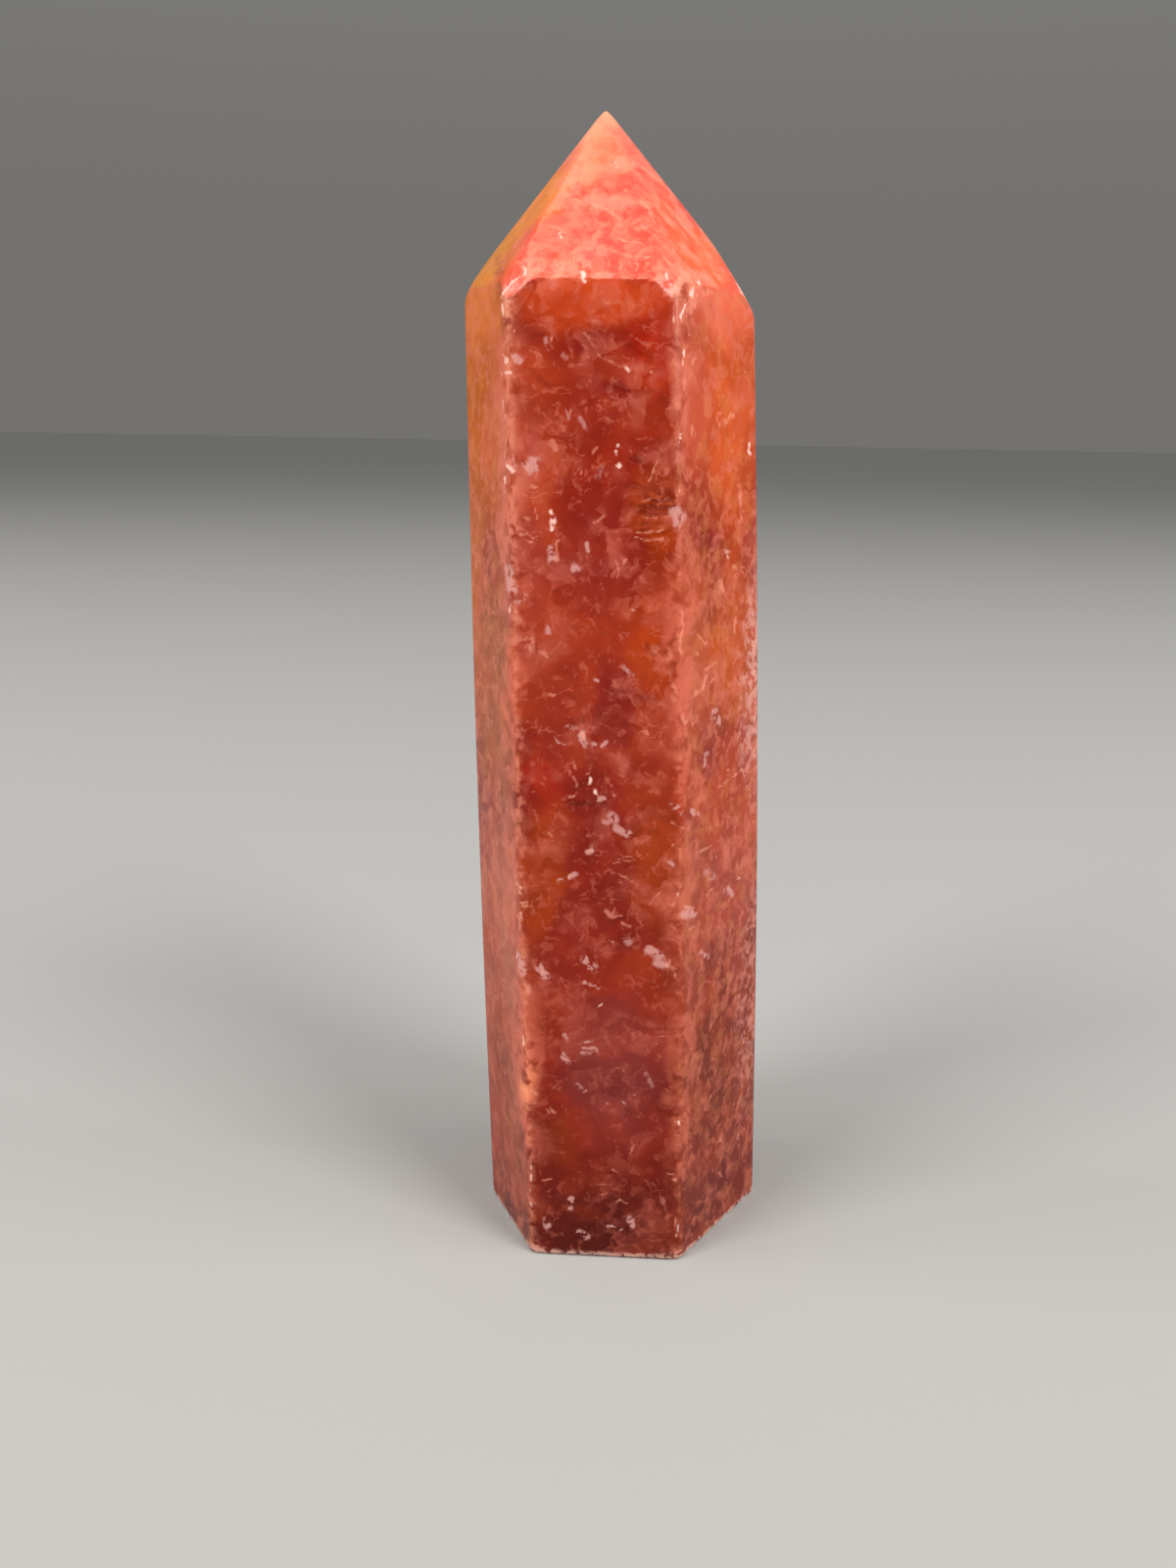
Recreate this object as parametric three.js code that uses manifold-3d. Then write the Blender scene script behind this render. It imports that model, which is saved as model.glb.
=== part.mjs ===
// Sunstone point: a polished six-sided tower of orange-red feldspar, one stone standing on its sawn foot.
// Units are millimetres, +Z is up and -Y is the front. The origin is the bottom centre of the stone's box.
// It is made as the real one is: a rough block is ground flat, side after side and then the tip,
// the arrises are softened, and the small chips that handling leaves are knocked out of the edges.

import * as THREE from "three";
import { mergeVertices } from "three/addons/utils/BufferGeometryUtils.js";
import Module from "manifold-3d";

const wasm = await Module();
wasm.setup();

// Driving dimensions
const TIP_HEIGHT = 100; // top of the blunted tip
const SHOULDER_HEIGHT = 85.3; // where the six sides end and the tip's six faces begin
const TIP_BLUNT = 0.3; // taken off the sharp tip
const LEAN = new THREE.Vector2(-0.037, -0.002); // how far the axis moves per millimetre of height
const SHARP_TIP = new THREE.Vector3(-3.8, 0.4, TIP_HEIGHT + TIP_BLUNT);
const FOOT_ARRIS = 0.15; // softening of the edge round the foot
const SHOULDER_ARRIS = 0.15; // softening of the edges between the sides and the tip's faces
const TIP_ARRIS = 0.1; // softening of the tip's edges where they meet
const BANDS = 4; // flats that each slightly swollen side is ground in, one above the other

// The six sides, counter-clockwise from the front. facing: compass angle of the outward normal in degrees.
// foot and shoulder: distance from the leaning axis at those heights. swell: how far the middle stands out.
const SIDES = [
  { facing: -90, foot: 12.1, shoulder: 11.5, swell: 0.25 },
  { facing: -30.2, foot: 10.9, shoulder: 10.6, swell: 0.4 },
  { facing: 25.5, foot: 12.5, shoulder: 11.8, swell: 0.45 },
  { facing: 89.4, foot: 12.0, shoulder: 11.3, swell: 0.3 },
  { facing: 149.9, foot: 10.9, shoulder: 10.6, swell: 0.35 },
  { facing: 205, foot: 12.4, shoulder: 11.8, swell: 0.3 },
];

// The corner after each side, where it meets the next. arris: depth taken off the upright edge.
// cut: depth ground off the corner at the shoulder, and pitch: that cut's slope from level, in degrees.
const CORNERS = [
  { arris: 0.2, cut: 0.75, pitch: 62 },
  { arris: 0.3, cut: 1.0, pitch: 57 },
  { arris: 0.26, cut: 0.55, pitch: 60 },
  { arris: 0.24, cut: 0.65, pitch: 64 },
  { arris: 0.26, cut: 0.6, pitch: 60 },
  { arris: 0.16, cut: 0.95, pitch: 60 },
];

// Chips seen in the foot's edge. side: which side, share: how far along it. The unseen edges are left whole.
const FOOT_CHIPS = [
  { side: 0, share: 0.32, length: 0.9, width: 0.7, depth: 0.3 },
  { side: 0, share: 0.76, length: 0.8, width: 0.6, depth: 0.26 },
  { side: 1, share: 0.14, length: 1.3, width: 1.0, depth: 0.32 },
  { side: 1, share: 0.6, length: 2.2, width: 1.8, depth: 0.42 },
  { side: 1, share: 0.86, length: 1.5, width: 1.2, depth: 0.48 },
  { side: 5, share: 0.38, length: 1.4, width: 1.1, depth: 0.42 },
];

// Bruises over 1 mm long seen on the two front arrises, at their heights. The other arrises show none.
const ARRIS_CHIPS = [
  { corner: 5, height: 82.5, length: 2.3 },
  { corner: 5, height: 78.6, length: 1.6 },
  { corner: 5, height: 69.8, length: 2.4 },
  { corner: 5, height: 61.8, length: 1.4 },
  { corner: 5, height: 35.2, length: 1.9 },
  { corner: 5, height: 32.6, length: 1.3 },
  { corner: 5, height: 8, length: 2.4 },
  { corner: 5, height: 5.4, length: 2.1 },
  { corner: 0, height: 82.8, length: 2.9 },
  { corner: 0, height: 73.5, length: 1.1 },
  { corner: 0, height: 50.3, length: 1.2 },
  { corner: 0, height: 42.5, length: 1.7 },
  { corner: 0, height: 13.3, length: 1.4 },
  { corner: 0, height: 8.4, length: 2.5 },
  { corner: 0, height: 3.4, length: 2.5 },
];
const BRUISE_WIDTH = 0.7; // across a bruise's hollow
const BRUISE_DEPTH = 0.14; // how far it sinks below the softened arris
const CHIP_STRETCH = 1.25; // how much longer a hollow is than the mouth it leaves
const FOOT_CHIP_DROP = 0.6; // how far a foot chip's blow came from below, per unit from the side

const BLOCK = 3 * TIP_HEIGHT; // the rough block, and the size of each cut's waste
const UP = new THREE.Vector3(0, 0, 1);

const next = (i) => (i + 1) % SIDES.length;

const facing = ({ facing: angle }) => {
  const a = THREE.MathUtils.degToRad(angle);
  return new THREE.Vector3(Math.cos(a), Math.sin(a), 0);
};

// A manifold-3d solid from a closed three.js geometry, moved by a matrix.
function solidOf(geometry, matrix = new THREE.Matrix4()) {
  const bare = geometry.clone().applyMatrix4(matrix);
  bare.deleteAttribute("normal");
  bare.deleteAttribute("uv");
  const merged = mergeVertices(bare);
  const triVerts = new Uint32Array(merged.index.array);
  const vertProperties = merged.attributes.position.array;
  return new wasm.Manifold(new wasm.Mesh({ numProp: 3, vertProperties, triVerts }));
}

// Distance of a side's face from the upright through the origin, at a height: taper, swell and lean together.
function reach(side, height) {
  const t = height / SHOULDER_HEIGHT;
  const own = THREE.MathUtils.lerp(side.foot, side.shoulder, t) + side.swell * 4 * t * (1 - t);
  const normal = facing(side);
  return own + height * (LEAN.x * normal.x + LEAN.y * normal.y);
}

// The point at a height where side i meets the side after it, before the arris is softened.
function cornerAt(i, height) {
  const [a, b] = [facing(SIDES[i]), facing(SIDES[next(i)])];
  const [p, q] = [reach(SIDES[i], height), reach(SIDES[next(i)], height)];
  const cross = a.x * b.y - a.y * b.x;
  return new THREE.Vector3((p * b.y - q * a.y) / cross, (q * a.x - p * b.x) / cross, height);
}

// The level direction that points straight out of a corner.
const outOf = (i) => facing(SIDES[i]).add(facing(SIDES[next(i)])).normalize();

// Grinds flat everything past the plane through a point with an outward normal.
function grind(stone, point, normal) {
  const out = normal.clone().normalize();
  const turn = new THREE.Quaternion().setFromUnitVectors(UP, out);
  const middle = point.clone().addScaledVector(out, BLOCK / 2);
  const place = new THREE.Matrix4().compose(middle, turn, new THREE.Vector3(1, 1, 1));
  return stone.subtract(solidOf(new THREE.BoxGeometry(BLOCK, BLOCK, BLOCK), place));
}

// Softens the edge from p to q, which faces outward, by one flat that lies depth under it.
function soften(stone, p, q, outward, depth) {
  const from = p.clone().addScaledVector(outward, -depth);
  const to = q.clone().addScaledVector(outward, -depth);
  const across = new THREE.Vector3().crossVectors(to.clone().sub(from), outward);
  const normal = new THREE.Vector3().crossVectors(across, to.clone().sub(from));
  return grind(stone, from, normal.dot(outward) < 0 ? normal.negate() : normal);
}

// Heights where one band of a side ends and the next begins.
const bandHeights = () => Array.from({ length: BANDS + 1 }, (_, k) => (SHOULDER_HEIGHT * k) / BANDS);

// The six sides, each ground in bands that together swell a little at the middle.
function grindSides(stone) {
  const heights = bandHeights();
  for (const side of SIDES) {
    const normal = facing(side);
    for (let k = 0; k < BANDS; k += 1) {
      const [low, high] = [heights[k], heights[k + 1]];
      const [foot, top] = [reach(side, low), reach(side, high)];
      const face = normal.clone().multiplyScalar(high - low).addScaledVector(UP, foot - top);
      stone = grind(stone, normal.clone().multiplyScalar(foot).setZ(low), face);
    }
  }
  return stone;
}

// The outward normal of the tip's face above side i, which holds the side's shoulder line and the sharp tip.
function tipNormal(i) {
  const normal = facing(SIDES[i]);
  const inward = reach(SIDES[i], SHOULDER_HEIGHT) - normal.dot(SHARP_TIP);
  const rise = SHARP_TIP.z - SHOULDER_HEIGHT;
  return normal.multiplyScalar(rise).addScaledVector(UP, inward).normalize();
}

// The tip's six faces and the small blunt end.
function grindTip(stone) {
  for (let i = 0; i < SIDES.length; i += 1) stone = grind(stone, SHARP_TIP, tipNormal(i));
  return grind(stone, new THREE.Vector3(0, 0, TIP_HEIGHT), UP);
}

// Softens the upright arrises band by band, and the tip's edges above them.
function softenUprights(stone) {
  const heights = bandHeights();
  CORNERS.forEach(({ arris }, i) => {
    for (let k = 0; k < BANDS; k += 1) {
      stone = soften(stone, cornerAt(i, heights[k]), cornerAt(i, heights[k + 1]), outOf(i), arris);
    }
    const outward = tipNormal(i).add(tipNormal(next(i))).normalize();
    stone = soften(stone, cornerAt(i, SHOULDER_HEIGHT), SHARP_TIP, outward, TIP_ARRIS);
  });
  return stone;
}

// Softens the level edges: the six at the shoulder and the six round the foot.
function softenLevels(stone) {
  for (let i = 0; i < SIDES.length; i += 1) {
    const before = (i + SIDES.length - 1) % SIDES.length;
    const shoulder = facing(SIDES[i]).add(tipNormal(i)).normalize();
    const foot = facing(SIDES[i]).sub(UP).normalize();
    const edge = (height) => [cornerAt(before, height), cornerAt(i, height)];
    stone = soften(stone, ...edge(SHOULDER_HEIGHT), shoulder, SHOULDER_ARRIS);
    stone = soften(stone, ...edge(0), foot, FOOT_ARRIS);
  }
  return stone;
}

// The cut across each corner of the shoulder, ground by hand to a slope of its own.
function cutCorners(stone) {
  CORNERS.forEach(({ cut, pitch }, i) => {
    const slope = THREE.MathUtils.degToRad(pitch);
    const normal = outOf(i).multiplyScalar(Math.sin(slope)).addScaledVector(UP, Math.cos(slope));
    stone = grind(stone, cornerAt(i, SHOULDER_HEIGHT).addScaledVector(normal, -cut), normal);
  });
  return stone;
}

// Knocks a shell-shaped chip out of an edge: a long ball sunk to a depth below the point.
function chip(stone, point, outward, along, { length, width, depth }) {
  const ball = new THREE.IcosahedronGeometry(1, 2);
  const side = new THREE.Vector3().crossVectors(outward, along).normalize();
  const turn = new THREE.Matrix4().makeBasis(side.clone().cross(outward).normalize(), side, outward);
  const middle = point.clone().addScaledVector(outward, width / 2 - depth);
  const reachOut = new THREE.Vector3((CHIP_STRETCH * length) / 2, width / 2, width / 2);
  return stone.subtract(solidOf(ball, turn.setPosition(middle).scale(reachOut)));
}

function chipEdges(stone) {
  for (const { side, share, ...size } of FOOT_CHIPS) {
    const [from, to] = [cornerAt((side + SIDES.length - 1) % SIDES.length, 0), cornerAt(side, 0)];
    const outward = facing(SIDES[side]).addScaledVector(UP, -FOOT_CHIP_DROP).normalize();
    stone = chip(stone, from.clone().lerp(to, share), outward, to.clone().sub(from), size);
  }
  for (const { corner, height, length } of ARRIS_CHIPS) {
    const size = { length, width: BRUISE_WIDTH, depth: BRUISE_DEPTH + CORNERS[corner].arris };
    stone = chip(stone, cornerAt(corner, height), outOf(corner), UP, size);
  }
  return stone;
}

// The whole stone as a three.js geometry.
function stoneGeometry() {
  const lift = new THREE.Matrix4().makeTranslation(0, 0, BLOCK / 2);
  let stone = solidOf(new THREE.BoxGeometry(BLOCK, BLOCK, BLOCK), lift);
  for (const step of [grindSides, grindTip, softenUprights, softenLevels, cutCorners, chipEdges]) {
    stone = step(stone);
  }
  const { vertProperties, triVerts } = stone.getMesh();
  const geometry = new THREE.BufferGeometry();
  geometry.setAttribute("position", new THREE.BufferAttribute(vertProperties, 3));
  geometry.setIndex(new THREE.BufferAttribute(triVerts, 1));
  geometry.computeVertexNormals();
  return geometry;
}

// Polished orange-red feldspar
const sunstone = new THREE.MeshStandardMaterial({ color: 0xa8402a, roughness: 0.28, metalness: 0 });

const point = new THREE.Mesh(stoneGeometry(), sunstone);
point.name = "sunstone_point";

// The stone stands with the bottom centre of its box on the origin.
const middle = new THREE.Box3().setFromObject(point).getCenter(new THREE.Vector3());
point.position.set(-middle.x, -middle.y, 0);

const tower = new THREE.Group();
tower.add(point);

export default tower;
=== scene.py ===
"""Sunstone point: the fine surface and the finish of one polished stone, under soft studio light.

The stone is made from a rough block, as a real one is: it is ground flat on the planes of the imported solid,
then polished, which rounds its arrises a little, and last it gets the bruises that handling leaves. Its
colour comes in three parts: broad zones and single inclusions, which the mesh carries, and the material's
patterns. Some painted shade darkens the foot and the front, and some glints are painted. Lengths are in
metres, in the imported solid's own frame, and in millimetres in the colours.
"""

import logging
import math
from dataclasses import dataclass, field
from enum import Enum
from typing import Any, Sequence

import bmesh
import bpy
import numpy as np
from mathutils import Matrix, Vector
from mathutils.bvhtree import BVHTree
from mathutils.noise import noise


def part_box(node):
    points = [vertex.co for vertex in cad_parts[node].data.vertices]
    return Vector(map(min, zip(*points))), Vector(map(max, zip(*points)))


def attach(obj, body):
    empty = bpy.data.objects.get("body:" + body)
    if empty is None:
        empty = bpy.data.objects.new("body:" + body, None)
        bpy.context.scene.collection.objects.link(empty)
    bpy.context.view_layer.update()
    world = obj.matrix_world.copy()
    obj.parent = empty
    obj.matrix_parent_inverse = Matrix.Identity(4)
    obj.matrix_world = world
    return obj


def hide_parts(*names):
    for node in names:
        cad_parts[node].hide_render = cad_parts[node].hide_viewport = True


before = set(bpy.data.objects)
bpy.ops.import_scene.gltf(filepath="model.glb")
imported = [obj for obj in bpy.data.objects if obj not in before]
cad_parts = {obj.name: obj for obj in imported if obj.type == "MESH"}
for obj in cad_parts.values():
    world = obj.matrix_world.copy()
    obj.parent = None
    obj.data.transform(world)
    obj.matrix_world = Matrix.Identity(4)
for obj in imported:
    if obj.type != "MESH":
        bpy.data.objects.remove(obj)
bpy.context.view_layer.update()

MM = 0.001
NODE = "sunstone_point"
BODY = "root"

log = logging.getLogger("sunstone_point")


class Mark(Enum):
    """What the mesh tells the material about each point of the surface."""

    ARRIS = "arris"  # 1 on a ground edge, 0 within a millimetre of it
    RIM = "rim"  # the same over several millimetres, where the stone is thin enough for light to come through
    BRUISE = "bruise"  # 1 in the hollow of a chip
    SIDE = "side"  # 1 on the upright sides other than the front one
    POINT = "point"  # 1 on the milky faces of the point, less on its clear ones


def linear(colour: str, alpha: float = 1.0) -> tuple[float, float, float, float]:
    """Turns an sRGB hex colour into linear RGBA.

    Args:
        colour: The colour, such as "#a63b26".
        alpha: The fourth value.

    Returns:
        Four linear values from 0 to 1.
    """
    parts = [int(colour[i : i + 2], 16) / 255 for i in (1, 3, 5)]
    low = [c / 12.92 if c <= 0.04045 else ((c + 0.055) / 1.055) ** 2.4 for c in parts]
    return (*low, alpha)


def add_node(
    tree: bpy.types.NodeTree, kind: str, inputs: dict | None = None, **settings: Any
) -> bpy.types.Node:
    """Adds a node with its settings and links.

    Args:
        tree: The material's node tree.
        kind: The node's type without "ShaderNode".
        inputs: What each input, by name or number, is linked to or set to.
        **settings: The node's own settings.

    Returns:
        The new node.
    """
    node = tree.nodes.new("ShaderNode" + kind)
    for name, value in settings.items():
        setattr(node, name, value)
    for name, value in (inputs or {}).items():
        socket = node.inputs[name]
        if isinstance(value, bpy.types.NodeSocket):
            tree.links.new(value, socket)
        else:
            socket.default_value = value
    return node


def only(thing: bpy.types.Object) -> None:
    """Makes one object the only one selected, and the active one.

    Args:
        thing: The object.
    """
    bpy.ops.object.select_all(action="DESELECT")
    thing.select_set(True)
    bpy.context.view_layer.objects.active = thing


@dataclass(frozen=True)
class Zone:
    """A soft patch of one colour inside the stone.

    Attributes:
        place: Its centre in millimetres.
        reach: How far it spreads along each axis, in millimetres.
        colour: Its sRGB hex colour.
        strength: How much of the colour it lays over the rest, from 0 to 1.
    """

    place: tuple[float, float, float]
    reach: tuple[float, float, float]
    colour: str
    strength: float


class Tint(Enum):
    """The kinds of single inclusion that show close under the front half's surface; the white kind is painted
    glints and worn places.
    """

    WHITE = "white"  # painted highlights (bright glints), and worn places on the arrises
    PEACH = "peach"  # edges of clear flakes that catch the light
    GREY = "grey"  # pinkish grey blotches with torn outlines
    DARK = "dark"  # deeper, clearer places


# How far an inclusion's colour reaches from its stroke's middle, in half widths. It is full up to 1 less.
STROKE_REACH = 1.45


@dataclass(frozen=True)
class Fleck:
    """One inclusion, drawn as a stroke.

    Attributes:
        path: The places it runs through: from left to right, and up, in millimetres.
        half_width: Half its width, in millimetres.
        tint: Its kind.
        strength: How clearly it shows, from 0 to 1.
    """

    path: tuple[tuple[float, float], ...]
    half_width: float
    tint: Tint
    strength: float = 1.0

    def away(self, points: np.ndarray) -> np.ndarray:
        """How far points are from the stroke.

        Args:
            points: The points, from left to right and up in millimetres, one a row.

        Returns:
            The distances in millimetres.
        """
        least = np.full(len(points), np.inf)
        for start, end in zip(self.path, self.path[1:]):
            begin, along = np.array(start), np.array(end) - start
            share = np.clip((points - begin) @ along / (along @ along), 0, 1)
            least = np.minimum(least, np.linalg.norm(points - begin - share[:, None] * along, axis=1))
        return least


# The broad colours of the sides. Later ones lie over earlier ones: first the front, then the others. Those at
# the back are guessed.
BODY_ZONES = (
    Zone((0, -12, 45), (9, 4, 60), "#8e200e", 0.6),  # the front is deeper red than the rest, and painted shade darkens it further
    Zone((0.6, -12, 18.5), (5.5, 7, 8.5), "#8e3a38", 0.75),  # greyish pink haze
    Zone((-5, -12, 11.5), (2.6, 6, 3), "#98380c", 0.7),  # orange by the left arris
    Zone((-6, -12, 37), (2.4, 7, 8), "#a83c0a", 0.85),  # orange above it
    Zone((3.6, -12, 38), (2.6, 7, 6), "#983604", 0.8),  # lower orange window
    Zone((3.4, -12, 48), (2.6, 6, 38), "#a0340e", 0.35),  # the right half is warmer all the way up
    Zone((-1.4, -12, 50), (5, 7, 5), "#7c1a14", 0.5),  # dark middle
    Zone((-6, -12, 45), (2.4, 6, 3), "#a8200c", 0.6),  # clear red beside it
    Zone((3, -12, 57), (2.8, 7, 6), "#a83606", 0.85),  # orange above it
    Zone((2.9, -12, 67.5), (2.4, 7, 4.2), "#963002", 0.95),  # orange window, with cleavage steps
    Zone((-2.5, -12, 64), (3.6, 7, 6), "#801c16", 0.5),  # dark red beside it
    Zone((-7.4, -12, 68), (1.8, 6, 14), "#a8402e", 0.6),  # pinker beside the left arris
    Zone((-2.5, -12, 77), (4.6, 7, 5.5), "#801a12", 0.6),  # deep red heart under the shoulder
    Zone((2.2, -12, 81), (3, 6, 5), "#a8240c", 0.7),  # clear red at the front's top
    Zone((-3, -12, 83.8), (8, 3, 2.4), "#c04014", 0.8),  # it glows just under the shoulder
    Zone((0, -9, 1), (14, 14, 9), "#521408", 0.75),  # painted shade: the foot painted dark
    Zone((-12.5, -5, 76), (4, 8, 14), "#c05c10", 0.85),  # amber, upper left side
    Zone((-11.5, -6, 52), (3.4, 8, 12), "#9a4602", 0.9),  # olive brown below it
    Zone((-10.5, -6, 33), (3, 8, 9), "#b45438", 0.8),  # pinkish grey, lower left side
    Zone((-10, -6, 15), (3, 8, 8), "#92380e", 0.8),  # red brown below it
    Zone((-10.4, -9, 76), (2.4, 4, 14), "#bc6038", 0.85),  # pale tan by the left arris, and below
    Zone((-10, -9, 52), (2.4, 4, 14), "#984818", 0.8),
    Zone((-9.4, -9, 30), (2.4, 4, 12), "#ac5840", 0.8),
    Zone((-9, -9, 10), (2.4, 4, 10), "#94442a", 0.7),
    Zone((-14, -1, 70), (3, 6, 25), "#b45c1c", 0.8),  # the left outline
    Zone((-12, 0, 22), (3, 6, 20), "#a44c30", 0.7),
    Zone((13.5, -1, 56), (3, 6, 22), "#b85c48", 0.8),  # the right outline
    Zone((13.5, 0, 20), (3, 6, 20), "#883014", 0.8),
    Zone((3, 12, 70), (9, 6, 18), "#b44a20", 0.6),  # the back
    Zone((-8, 8, 60), (5, 6, 11), "#b0500c", 0.6),
    Zone((-3, 12, 40), (7, 6, 13), "#a03c28", 0.5),
    Zone((6, 11, 22), (7, 6, 11), "#a4400c", 0.6),
    Zone((9, -4, 76), (6, 8, 11), "#d05826", 0.75),  # orange, upper right side
    Zone((9, -4, 84.5), (7, 9, 4), "#e0684a", 0.85),  # pinker towards the point
    Zone((-12, -5, 84), (4, 9, 4), "#d0702c", 0.85),  # amber towards the point on the left
    Zone((9, -4.5, 56), (4, 7, 9), "#b44a0c", 0.8),  # brown orange below it
    Zone((6.6, -10, 77), (2.6, 4, 12), "#bc5038", 0.8),  # pinkish by the right arris, and below
    Zone((6.8, -10, 56), (2.6, 4, 12), "#a84a28", 0.8),
    Zone((6.8, -10, 34), (2.6, 4, 12), "#9a422a", 0.8),
    Zone((6.4, -10, 84.6), (2.6, 4, 1.8), "#d86c54", 0.9),  # palest in the shoulder's corner
    Zone((7.0, -10, 14), (2.6, 4, 12), "#822a0c", 0.8),
    Zone((10.5, -4, 33), (5, 6, 8), "#a04434", 0.6),  # pink, lower right side
    Zone((9, -6, 15), (4.4, 7, 13), "#762000", 0.95),  # brown below it
)

# Where light comes out near the two front arrises. Laid on last, over the darker foot.
GLOW_ZONES = (
    Zone((-7.9, -11, 20), (1.9, 3.5, 10), "#cc6850", 0.65),  # pinkish, lower left
    Zone((-7.4, -11.5, 16), (1.2, 2, 2.4), "#ec8858", 0.8),  # peach in it: a painted highlight
    Zone((-7.2, -11, 12.5), (1.2, 2.5, 3), "#c4583c", 0.7),  # redder below it
    Zone((-8.8, -11, 37), (1.4, 3.5, 8), "#c46446", 0.55),
    Zone((-9.0, -11, 52), (1.4, 3.5, 8), "#d4543c", 0.55),  # clear red
    Zone((-9.5, -11, 70), (1.9, 3.5, 15), "#d07460", 0.65),  # pinkish, upper left
    Zone((6.1, -11, 17), (1.4, 3, 12), "#a84e38", 0.45),
    Zone((5.7, -11, 36), (1.5, 3, 9), "#bc5c40", 0.5),
    Zone((5.2, -11, 56), (1.5, 3, 14), "#cc5844", 0.55),
    Zone((4.9, -11, 79), (1.5, 3, 9), "#d87660", 0.6),  # palest under the shoulder
)

# The broad colours of the point.
POINT_ZONES = (
    Zone((-4, 0, 92), (30, 30, 30), "#d84c3a", 0.95),  # salmon
    Zone((-5, -6, 96.5), (6, 8, 3), "#f08058", 0.8),  # peach towards the tip
    Zone((-8, -3, 92.5), (3.4, 7, 4.4), "#dc8010", 0.9),  # orange up the left
    Zone((-5.4, -7, 94.5), (1.2, 5, 3), "#f07c44", 0.6),
    Zone((-4, -2, 99.5), (4, 5, 3), "#fa9c74", 0.9),  # palest at the tip
    Zone((-12.5, -5, 88.5), (4.4, 8, 5), "#cc7a00", 0.97),  # amber on the left
    Zone((-9.8, -8, 87.5), (1.2, 5, 2.2), "#c05420", 0.5),  # red brown inside it
    Zone((-2.5, -10, 88.2), (4.5, 5, 2.4), "#dc4c42", 0.6),  # pinkish red low on the front
    Zone((0, -8, 91), (1.6, 4, 1.4), "#dc4c42", 0.5),
    Zone((5.5, -5, 88), (3.6, 7, 3.5), "#e45a20", 0.8),  # orange on the right
    Zone((2.8, -6, 92.5), (2.2, 6, 2.6), "#e86030", 0.7),  # the same above it
)
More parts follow.
